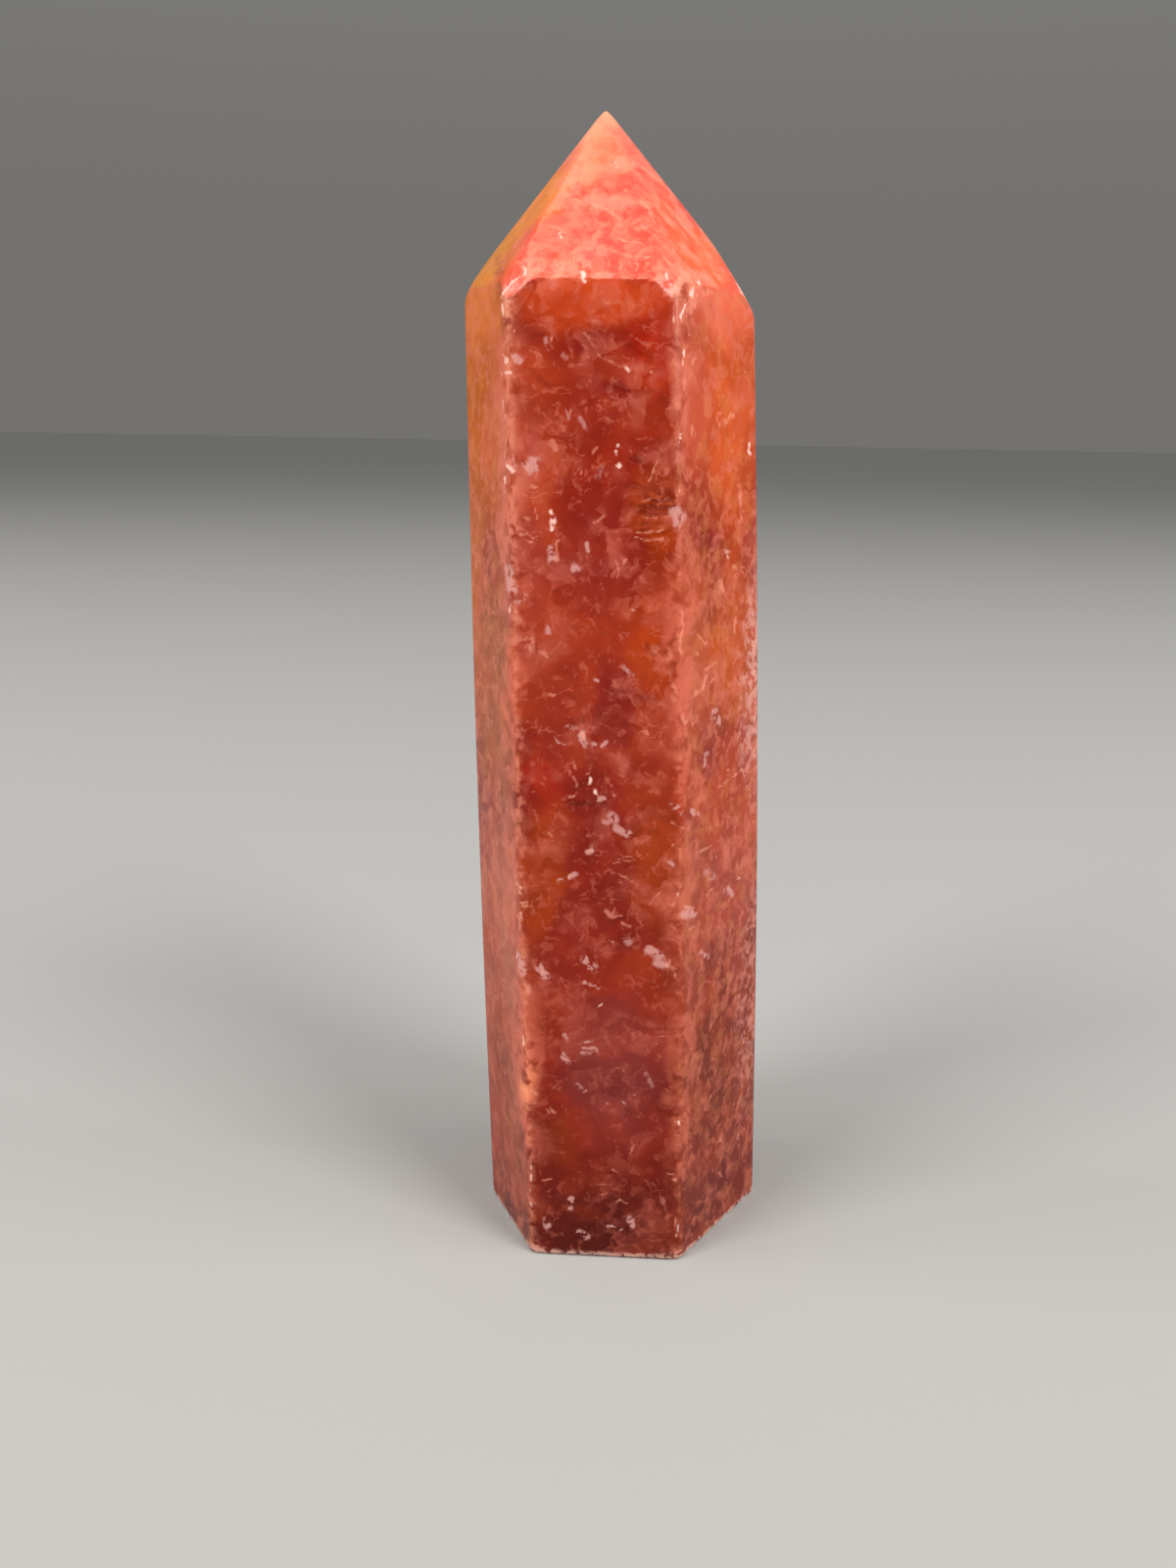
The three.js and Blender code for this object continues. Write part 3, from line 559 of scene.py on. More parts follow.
    Fleck(((5.5, 8.9), (6.2, 8.8)), 0.1, Tint.PEACH),
    Fleck(((5.8, 8.2), (6.5, 8.2)), 0.1, Tint.PEACH),
    Fleck(((-3.3, 5.9), (-3.1, 5)), 0.3, Tint.GREY),
    Fleck(((0.8, 5.4), (1.3, 5.8), (1.9, 5.6)), 0.05, Tint.PEACH),
    Fleck(((-0.7, 6.5), (0.2, 6.7), (0.9, 6.4)), 0.05, Tint.PEACH, 0.8),
    Fleck(((2.4, 4.4), (2.5, 3.4)), 0.3, Tint.GREY),
    Fleck(((0.2, 3.2), (1.6, 3.1)), 0.18, Tint.GREY),
    Fleck(((-2.2, 2.6), (-1.8, 2.2)), 0.35, Tint.GREY),
    Fleck(((-5.6, 3.6), (-5.4, 3)), 0.3, Tint.GREY),
    Fleck(((6.4, 3.1), (6.4, 2.4)), 0.05, Tint.WHITE, 0.9),
    Fleck(((6.4, 4.3), (6.3, 3.6)), 0.08, Tint.PEACH),
    Fleck(((5, 6.6), (5.6, 4.4)), 0.25, Tint.PEACH, 0.35),
    Fleck(((-3.6, 5.6), (-3.3, 5.5)), 0.1, Tint.GREY),
    Fleck(((-1.5, 7.4), (0.4, 7.6)), 0.05, Tint.PEACH, 0.5),
    Fleck(((10.6, 5.6), (10.9, 4.9)), 0.12, Tint.PEACH, 0.8),
    Fleck(((12.4, 7.9), (12.4, 7.4)), 0.08, Tint.PEACH),
    Fleck(((10.4, 9.4), (10.6, 8.6)), 0.08, Tint.PEACH, 0.6),
    Fleck(((8.4, 23), (8.6, 21)), 0.3, Tint.DARK, 0.5),
    Fleck(((7.6, 18.6), (8, 15)), 0.4, Tint.DARK, 0.4),
    Fleck(((8.8, 13.4), (9.4, 14.4)), 0.1, Tint.PEACH, 0.6),
)


# Where pale lace lies just under the surface, low and high on the right outline, with a painted soft
# reflection laid in it.
FROST_AND_SHEEN_ZONES = (
    Zone((12.8, -1.5, 54), (2.6, 5.5, 15), "#dba49a", 0.55),
    Zone((13, 0, 22), (2.4, 5, 15), "#dba49a", 0.22),
)

# The orange window that cleavage steps cross: its centre and its reach.
STEPPED_WINDOW = ((3.0, -12.0, 66.5), (2.4, 6.0, 3.6))

# Heights. Between the two of a pair something grows from nothing to all there is of it.
SHOULDER = 85.3
FRINGE = (89.0, 85.5)
# Painted shade: the stone is painted darker towards the foot, all round, and more on the sides low down.
FOOT_SHADE = (72.0, -4.0)
SIDE_FOOT_SHADE = (34.0, 4.0)


@dataclass
class Colours:
    """The stone's broad colours, with painted shade at the foot and the front, and its single inclusions and
    painted glints, worked out for each point of the mesh.

    Attributes:
        points: The points in millimetres, one a row.
        zone_mm: The size of the body's broad lumps.
        patch_mm: The size of the patches between them, and of the noise that bends the zones' outlines.
        bend_mm: How far the lumps' outlines are pushed about.
        waver_mm: How far it is from one bend of a stroke to the next.
        deep: The body's deepest colour.
        body: Its usual colour.
        warm: The colour of its warmer patches.
        shadow: What the clear, shadowed patches keep of red, green and blue less than 1.
        bent: The points pushed about, for the zones.
        flat: The points from left to right and up, pushed about, for the strokes.
    """

    points: np.ndarray
    zone_mm: float = 9.0
    patch_mm: float = 3.4
    bend_mm: float = 2.4
    waver_mm: float = 1.2
    deep: str = "#7c1a0c"
    body: str = "#8c2412"
    warm: str = "#b04018"
    shadow: tuple[float, float, float] = (0.55, 0.75, 0.78)
    bent: np.ndarray = field(init=False)
    flat: np.ndarray = field(init=False)

    def __post_init__(self) -> None:
        """Pushes the places about by a noise, so that what is drawn on them has natural outlines."""
        self.bent = self.points + self.bend_mm * self.push((0.0, 40.0, 80.0), self.patch_mm)
        self.flat = self.points[:, [0, 2]] + self.waver_mm * 0.5 * self.push((160.0, 200.0), self.waver_mm)

    def push(self, shifts: Sequence[float], size: float) -> np.ndarray:
        """Works out how points are pushed about.

        Args:
            shifts: Where each direction's noise is taken from, so that they differ.
            size: The size of the noise's lumps in millimetres.

        Returns:
            Values around 0: one point a row, and one direction a column.
        """
        return np.stack([self.lumps(self.points + shift, size) - 0.5 for shift in shifts], axis=1)

    @staticmethod
    def lumps(places: np.ndarray, size: float) -> np.ndarray:
        """Works out a noise with finer lumps on its lumps.

        Args:
            places: The places in millimetres, one a row.
            size: How far across a lump is, in millimetres.

        Returns:
            One value around 0.5 for each place.
        """
        finer = 0.47
        coarse = np.array([noise(p) for p in places / size])
        fine = np.array([noise(p) for p in places / (size * finer)])
        return 0.5 + 0.5 * (coarse + 0.5 * fine)

    @staticmethod
    def fade(values: np.ndarray, low: float, high: float, top: float = 1.0) -> np.ndarray:
        """Maps values smoothly from low..high to 0..top."""
        share = np.clip((values - low) / (high - low), 0, 1)
        return top * share * share * (3 - 2 * share)

    def share(self, zone: Zone, core: float) -> np.ndarray:
        """Works out how much of a zone's colour lies at each point.

        Args:
            zone: The zone.
            core: The share of its reach within which it is full.

        Returns:
            One value from 0 to the zone's strength for each point.
        """
        outline = 1.2
        away = np.linalg.norm((self.bent - zone.place) / zone.reach, axis=1)
        return self.fade(away, outline, core, zone.strength)

    @staticmethod
    def lay(under: np.ndarray, over: str, share: np.ndarray) -> np.ndarray:
        """Lays a colour over others."""
        return under + share[:, None] * (np.array(linear(over)[:3]) - under)

    def shade(self, on_point: np.ndarray) -> np.ndarray:
        """The broad colour of each point, with the painted shade of the foot and the front.

        Args:
            on_point: 1 on the faces of the point, 0 elsewhere.

        Returns:
            Linear red, green, blue and 1, one point a row.
        """
        broad = self.lumps(self.bent, self.zone_mm)
        elsewhere = 120.0
        patches = self.lumps(self.bent + elsewhere, self.patch_mm)
        colour = np.tile(linear(self.deep)[:3], (len(self.points), 1))
        colour = self.lay(colour, self.body, self.fade(broad, 0.36, 0.5))
        colour = self.lay(colour, self.warm, self.fade(broad, 0.52, 0.66, 0.6))
        for zone in BODY_ZONES:
            colour = self.lay(colour, zone.colour, self.share(zone, core=0.35))
        colour *= 1 - self.fade(patches, 0.56, 0.3, 0.24)[:, None] * self.shadow
        colour = self.lay(colour, self.warm, self.fade(patches, 0.54, 0.7, 0.25))
        for zone in POINT_ZONES:
            colour = self.lay(colour, zone.colour, self.share(zone, core=0.5) * on_point)
        return np.column_stack((colour, np.ones(len(colour))))

    def glow(self) -> np.ndarray:
        """The light near the arrises.

        Returns:
            Linear red, green, blue and how much of it, one point a row.
        """
        colour = np.tile(linear(GLOW_ZONES[0].colour)[:3], (len(self.points), 1))
        clear = np.ones(len(colour))
        for zone in GLOW_ZONES:
            share = self.share(zone, core=0.3)
            colour = self.lay(colour, zone.colour, share)
            clear *= 1 - share
        return np.column_stack((colour, 1 - clear))

    def flecked(self, tint: Tint, facing: np.ndarray) -> np.ndarray:
        """How much of one tint there is at each point; the white tint is painted glints and worn places, the
        others are inclusions. A stroke's outline fades outwards.

        Args:
            tint: The kind.
            facing: 1 where the surface can be seen from the front, 0 elsewhere.

        Returns:
            One value for each point: 0 outside a stroke, up to its strength inside.
        """
        most = np.zeros(len(self.flat))
        for fleck in FLECKS:
            if fleck.tint is tint:
                inside = np.clip(STROKE_REACH - fleck.away(self.flat) / fleck.half_width, 0, 1)
                most = np.maximum(most, fleck.strength * inside)
        return most * facing


# What deepening keeps of linear red, green and blue.
DEEP_SHADE = (0.45, 0.25, 0.22, 1.0)


@dataclass
class Painter:
    """Paints a material by laying colours over each other in its node tree.

    Attributes:
        tree: The material's node tree.
        colour: What is painted so far: a socket, or four values.
        depth: How much darker shades show: less than 1 where the stone is milky.
    """

    tree: bpy.types.NodeTree
    colour: Any
    depth: Any = 1.0

    def math(self, how: str, a: Any, b: Any = 0.0) -> Any:
        """Works out one value from one or two."""
        return add_node(self.tree, "Math", {0: a, 1: b}, operation=how).outputs[0]

    def vector(self, how: str, a: Any, b: Any = (0, 0, 0), c: Any = (0, 0, 0)) -> bpy.types.NodeOutputs:
        """Works something out from up to three vectors; output 0 is a vector, 1 a value."""
        return add_node(self.tree, "VectorMath", {0: a, 1: b, 2: c}, operation=how).outputs

    def noise(self, place: Any, size: float, detail: float = 3.0, rough: float = 0.5) -> Any:
        """Adds a noise whose lumps are size millimetres across, and returns its value."""
        inputs = {"Vector": place, "Scale": 1 / size, "Detail": detail, "Roughness": rough}
        return add_node(self.tree, "TexNoise", inputs).outputs["Fac"]

    def fade(self, value: Any, low: float, high: float, top: float = 1.0) -> Any:
        """Maps a value smoothly from low..high to 0..top."""
        inputs = {"Value": value, "From Min": low, "From Max": high, "To Max": top}
        return add_node(self.tree, "MapRange", inputs, interpolation_type="SMOOTHSTEP").outputs["Result"]

    def bend(self, place: Any, size: float, amount: float) -> Any:
        """Pushes places about by a noise, so that what is drawn on them has natural outlines.

        Args:
            place: The places to bend.
            size: The size of the noise's lumps in millimetres.
            amount: How far places are pushed, in millimetres.

        Returns:
            The bent places.
        """
        inputs = {"Vector": place, "Scale": 1 / size, "Detail": 3.0}
        push = add_node(self.tree, "TexNoise", inputs).outputs["Color"]
        centred = self.vector("SUBTRACT", push, (0.5, 0.5, 0.5))[0]
        return self.vector("MULTIPLY_ADD", centred, (amount * 2,) * 3, place)[0]

    def away(self, place: Any, centre: Sequence[float], reach: Sequence[float]) -> Any:
        """Works out how far places are from a centre.

        Args:
            place: The places.
            centre: The centre.
            reach: What counts as 1 along each axis.

        Returns:
            The distance as a share of the reach.
        """
        scale = tuple(1 / r for r in reach)
        shift = tuple(-c / r for c, r in zip(centre, reach))
        return self.vector("LENGTH", self.vector("MULTIPLY_ADD", place, scale, shift)[0])[1]

    def flakes(self, place: Any, size: float) -> Any:
        """Overlapping clear flakes, each tilted its own way, so that each is sharp against the next.

        Args:
            place: The places.
            size: How wide a flake is, in millimetres.

        Returns:
            A value that runs across each flake from about -0.25 to 0.25.
        """
        cells = add_node(self.tree, "TexVoronoi", {"Vector": place, "Scale": 1 / size}).outputs
        inward = self.vector("SUBTRACT", place, cells["Position"])[0]
        lean = self.vector("SUBTRACT", cells["Color"], (0.5, 0.5, 0.5))[0]
        return self.math("MULTIPLY", self.vector("DOT_PRODUCT", inward, lean)[1], 1 / size)

    def lay(self, over: str, *shares: Any) -> None:
        """Lays a colour over what is painted so far.

        Args:
            over: The sRGB hex colour.
            *shares: How much of it: the product of these.
        """
        share = shares[0]
        for factor in shares[1:]:
            share = self.math("MULTIPLY", share, factor)
        self.blend(linear(over), share)

    def blend(self, over: Any, share: Any) -> None:
        """Lays a colour, or the colours of a socket, over what is painted so far."""
        inputs = {"Factor": share, 6: self.colour, 7: over}
        self.colour = add_node(self.tree, "Mix", inputs, data_type="RGBA").outputs[2]

    def deepen(self, *shares: Any) -> None:
        """Deepens what is painted so far towards a darker, redder shade of itself.

        Args:
            *shares: How much: the product of these.
        """
        share = self.depth
        for factor in shares:
            share = self.math("MULTIPLY", share, factor)
        inputs = {"Factor": share, 6: self.colour, 7: DEEP_SHADE}
        self.colour = add_node(self.tree, "Mix", inputs, data_type="RGBA", blend_type="MULTIPLY").outputs[2]


@dataclass(frozen=True)
class Fields:
    """Places and patterns that several layers of the material share.

    Attributes:
        place: Places in millimetres.
        bent: The same, pushed about gently.
        torn: The same, pushed about finely as well.
        up: The height in millimetres.
        where: Where there is more of something, in patches of several millimetres.
        clouds: Cloudy lumps.
        curds: Small ragged lumps.
        uneven: Lumps between the two.
        marks: What the mesh tells about each place.
    """

    place: Any
    bent: Any
    torn: Any
    up: Any
    where: Any
    clouds: Any
    curds: Any
    uneven: Any
    marks: dict[Mark, Any]


@dataclass(frozen=True)
class PolishedSunstone:
    """Sunstone, a translucent red feldspar, ground and tumbled to a polish.

    To the eye: a deep red body with orange windows, built of overlapping clear flakes that are each sharp on
    one side, with pale lace and clouds between them under a soft gloss. It is paler wherever an edge lets
    light through, and white where it is bruised. The real one's finest lace is too fine to show, so it is
    drawn with lumps of 0.8 mm.

    Attributes:
        haze: The colour of its clouds.
        veil: The colour of flakes and curds that catch the light.
        amber_veil: The same in the sides, where it is yellower.
        peach: The colour of specks, and of worn arrises.
        glint: The colour of the brightest worn places, with painted glints on them.
        bruise: The colour of a chip's hollow.
        milk: The colour of the point's pale patches.
        rose: The colour between them.
        tints: The kinds of single inclusion, in the order they are laid: the colour and how much of it. The
            one with no colour deepens what lies under it, and the white one is painted glints and worn
            places.
        where_mm: The size of the patches in which there is more or less of something.
        patch_mm: The size of the noise that bends the patterns.
        cloud_mm: The size of the clouds.
        big_flake_mm: How wide the large flakes are.
        small_flake_mm: How wide the small flakes are.
        curd_mm: The size of the curds and of the lace.
        point_patch_mm: The size of the point's patches.
        streak_mm: The size of the sides' softer patches.
        curve_mm: How far it is from one bright curve to the next.
        speck_mm: How far it is from one speck to the next.
        step_mm: The height of a cleavage step.
        ior: Feldspar's refractive index.
        specular: How strong the gloss is: below the usual 0.5, as the real one's highlights are faint.
        roughness: The polish's least roughness.
    """

    haze: str = "#b85a4e"
    veil: str = "#d0705a"
    amber_veil: str = "#cc7c46"
    peach: str = "#ea9678"
    glint: str = "#ffe2d6"
    bruise: str = "#f4d6c8"
    milk: str = "#ff9c84"
    rose: str = "#d45044"
    tints: Sequence[tuple[Tint, str | None, float]] = (
        (Tint.DARK, None, 0.5),
        (Tint.GREY, "#d0948c", 0.65),
        (Tint.PEACH, "#ea967c", 0.36),
        (Tint.WHITE, "#ffd0c0", 0.74),
    )
    where_mm: float = 5.4
    patch_mm: float = 3.4
    cloud_mm: float = 2.2
    big_flake_mm: float = 3.0
    small_flake_mm: float = 1.3
    curd_mm: float = 0.8
    point_patch_mm: float = 3.2
    streak_mm: float = 1.7
    curve_mm: float = 1.8
    speck_mm: float = 1.4
    step_mm: float = 0.5
    ior: float = 1.54
    specular: float = 0.15
    roughness: float = 0.2

    def material(self) -> bpy.types.Material:
        """Builds the stone's material.

        Returns:
            The material.
        """
        material = bpy.data.materials.new("polished_sunstone")
        material.use_nodes = True
        tree = material.node_tree
        tree.nodes.clear()
        painter = Painter(tree, add_node(tree, "Attribute", attribute_name="shade").outputs["Color"])
        fields = self._fields(painter)
        shallow = painter.math("MULTIPLY", fields.marks[Mark.SIDE], 0.6)
        shallow = painter.math("MAXIMUM", shallow, painter.math("MULTIPLY", fields.marks[Mark.POINT], 0.75))
        painter.depth = painter.math("SUBTRACT", 1.0, shallow)
        self._flakes(painter, fields)
        self._inclusions(painter, fields)
        self._edges(painter, fields)
        self._flecks(painter, fields)
        self._surface(painter, fields)
        return material

    def _fields(self, painter: Painter) -> Fields:
        """Works out the places and patterns that several layers share.

        Args:
            painter: Paints the material.

        Returns:
            The shared places and patterns.
        """
        tree = painter.tree
        metres = add_node(tree, "TexCoord").outputs["Object"]
        place = painter.vector("MULTIPLY", metres, (1 / MM,) * 3)[0]
        bent = painter.bend(place, self.patch_mm, 1.2)
        torn = painter.bend(bent, self.curd_mm, 0.3)
        return Fields(
            place=place,
            bent=bent,
            torn=torn,
            up=add_node(tree, "SeparateXYZ", {0: place}).outputs[2],
            where=painter.noise(place, self.where_mm, 2.0),
            clouds=painter.noise(torn, self.cloud_mm, 4.0, 0.6),
            curds=painter.noise(torn, self.curd_mm, 3.0, 0.6),
            uneven=painter.noise(torn, self.curd_mm * 2, 2.0, 0.6),
            marks={m: add_node(tree, "Attribute", attribute_name=m.value).outputs["Fac"] for m in Mark},
        )

    def _flakes(self, painter: Painter, fields: Fields) -> None:
        """Paints the overlapping flakes, large and small, and the cleavage steps in one window.

        Args:
            painter: Paints the material.
            fields: The shared places and patterns.
        """
        some = painter.fade(fields.where, 0.42, 0.58)
        on_point = fields.marks[Mark.POINT]
        big = painter.flakes(fields.torn, self.big_flake_mm)
        painter.deepen(painter.fade(big, 0.04, -0.2, 0.14))
        painter.lay(self.veil, painter.fade(big, -0.02, 0.24, 0.2), some)
        painter.lay(self.milk, painter.fade(big, 0.0, 0.2, 0.18), on_point)
        small = painter.flakes(fields.torn, self.small_flake_mm)
        painter.deepen(painter.fade(small, 0.0, -0.2, 0.09))
        painter.lay(self.veil, painter.fade(small, 0.04, 0.24, 0.2), some)
        painter.lay(self.milk, painter.fade(small, 0.02, 0.2, 0.08), on_point)
        window = painter.fade(painter.away(fields.place, *STEPPED_WINDOW), 1.2, 0.6)
        level = painter.vector("MULTIPLY", fields.bent, (0.1, 0.1, 1.0))[0]
        steps = painter.noise(level, self.step_mm, 1.0)
        painter.deepen(painter.fade(steps, 0.48, 0.36, 0.8), window)

    def _inclusions(self, painter: Painter, fields: Fields) -> None:
        """Paints what floats in the body: clouds, curds, bright curves, softer patches and specks.

        Args:
            painter: Paints the material.
            fields: The shared places and patterns.
        """
        side = fields.marks[Mark.SIDE]
        on_point = fields.marks[Mark.POINT]
        cloudy = painter.fade(fields.clouds, 0.5, 0.62, 0.26)
        painter.lay(self.haze, cloudy, painter.fade(fields.where, 0.38, 0.62))
        painter.deepen(painter.fade(fields.curds, 0.46, 0.36, 0.08))
        lumpy = painter.fade(fields.clouds, 0.46, 0.54)
        body = painter.math("SUBTRACT", 1.0, painter.math("MULTIPLY", on_point, 0.7))
        painter.lay(self.veil, painter.fade(fields.curds, 0.53, 0.62, 0.26), lumpy, body)
        patches = painter.noise(fields.torn, self.point_patch_mm, 3.0)
        painter.lay(self.milk, painter.fade(patches, 0.5, 0.62, 0.22), on_point)
        painter.lay(self.rose, painter.fade(patches, 0.48, 0.36, 0.3), on_point)

        level = painter.math("SUBTRACT", painter.noise(fields.torn, self.curve_mm, 2.0), 0.5)
        curve = painter.fade(painter.math("ABSOLUTE", level), 0.02, 0.004, 0.8)
        painter.lay(self.veil, curve, painter.fade(fields.uneven, 0.52, 0.6, 0.35))

        streaks = painter.noise(fields.bent, self.streak_mm, 3.0, 0.6)
        painter.lay(self.amber_veil, painter.fade(streaks, 0.5, 0.62, 0.22), side)
        painter.lay(self.veil, painter.fade(fields.uneven, 0.52, 0.58, 0.26), side)
        fringe = painter.fade(fields.up, *FRINGE)
        painter.lay(self.milk, painter.fade(streaks, 0.5, 0.6, 0.4), fringe, on_point)

        inputs = {"Vector": fields.bent, "Scale": 1 / self.speck_mm}
        dots = add_node(painter.tree, "TexVoronoi", inputs).outputs
        pick = add_node(painter.tree, "SeparateColor", {0: dots["Color"]}).outputs[1]
        speck = painter.fade(dots["Distance"], 0.13, 0.05)
        painter.lay(self.peach, speck, painter.fade(pick, 0.65, 0.9, 0.6))

    def _edges(self, painter: Painter, fields: Fields) -> None:
        """Paints shade that darkens it towards the foot, paler where an edge lets light through, and white
        where it is worn, with painted glints on the worn arrises.

        Args:
            painter: Paints the material.
            fields: The shared places and patterns.
        """
        marks = fields.marks
        # Painted shade: darker towards the foot all round, and more on the sides low down.
        painter.deepen(painter.fade(fields.up, *FOOT_SHADE, 0.62))
        painter.deepen(painter.fade(fields.up, *SIDE_FOOT_SHADE, 0.7), marks[Mark.SIDE])
        uneven = painter.fade(fields.uneven, 0.32, 0.56)
        thin = painter.math("MULTIPLY", painter.fade(marks[Mark.RIM], 0.0, 0.3), uneven)
        glow = add_node(painter.tree, "Attribute", attribute_name="glow").outputs
        painter.blend(glow["Color"], painter.math("MULTIPLY", glow["Alpha"], thin))
        tip = painter.math("MULTIPLY", marks[Mark.POINT], painter.fade(marks[Mark.RIM], 0.5, 0.9, 0.3))
        painter.lay(self.peach, tip, painter.fade(fields.uneven, 0.36, 0.6))

        # Pale lace on the right outline, with a painted soft reflection in it.
        lace = painter.fade(fields.curds, 0.44, 0.58)
        for zone in FROST_AND_SHEEN_ZONES:
            away = painter.away(fields.bent, zone.place, zone.reach)
            painter.lay(zone.colour, painter.fade(away, 1.15, 0.3, zone.strength), lace)

        worn = painter.fade(marks[Mark.ARRIS], 0.4, 0.9, 0.6)
        painter.lay(self.peach, worn, painter.fade(fields.curds, 0.42, 0.6, 0.7))
        # Painted glints and the brightest wear, on the worn arrises by the shoulder and the foot.
        off_shoulder = painter.math("ABSOLUTE", painter.math("SUBTRACT", fields.up, SHOULDER))
        near_shoulder = painter.fade(off_shoulder, 1.4, 0.5, 0.6)
        painter.lay(self.glint, worn, near_shoulder, painter.fade(fields.curds, 0.4, 0.55))
        near_foot = painter.fade(fields.up, 1.2, 0.1, 0.5)
        painter.lay(self.glint, worn, near_foot, painter.fade(fields.curds, 0.42, 0.52))
        hollow = painter.fade(marks[Mark.BRUISE], 0.1, 0.9, 0.85)
        painter.lay(self.bruise, hollow, painter.fade(fields.curds, 0.34, 0.5))

    def _flecks(self, painter: Painter, fields: Fields) -> None:
        """Paints the single inclusions that the mesh carries, with the white painted glints, and tears their
        outlines.

        Args:
            painter: Paints the material.
            fields: The shared places and patterns.
        """
        torn = painter.math("MULTIPLY", painter.math("SUBTRACT", fields.curds, 0.48), 5.0)
        for tint, colour, strength in self.tints:
            amount = add_node(painter.tree, "Attribute", attribute_name=tint.value).outputs["Fac"]
            if tint in (Tint.GREY, Tint.WHITE):
                ragged = painter.math("MULTIPLY", amount, painter.fade(fields.curds, 0.38, 0.54))
            else:
                ragged = painter.math("ADD", amount, painter.math("MULTIPLY", torn, amount))
            here = painter.fade(ragged, 0.05, 0.9, strength)
            if colour is None:
                painter.deepen(here)
            else:
                painter.lay(colour, here)

    def _surface(self, painter: Painter, fields: Fields) -> None:
        """Gives it feldspar's gloss, a little hazy in patches and dull in the bruises.

        Args:
            painter: Paints the material.
            fields: The shared places and patterns.
        """
        gloss = painter.fade(fields.where, 0.3, 0.7, 0.14)
        rough = painter.math("ADD", gloss, self.roughness)
        rough = painter.math("ADD", rough, painter.math("MULTIPLY", fields.marks[Mark.BRUISE], 0.4))
        inputs = {
            "Base Color": painter.colour,
            "Roughness": rough,
            "IOR": self.ior,
            "Specular IOR Level": self.specular,
        }
        shader = add_node(painter.tree, "BsdfPrincipled", inputs)
        add_node(painter.tree, "OutputMaterial", {"Surface": shader.outputs[0]})


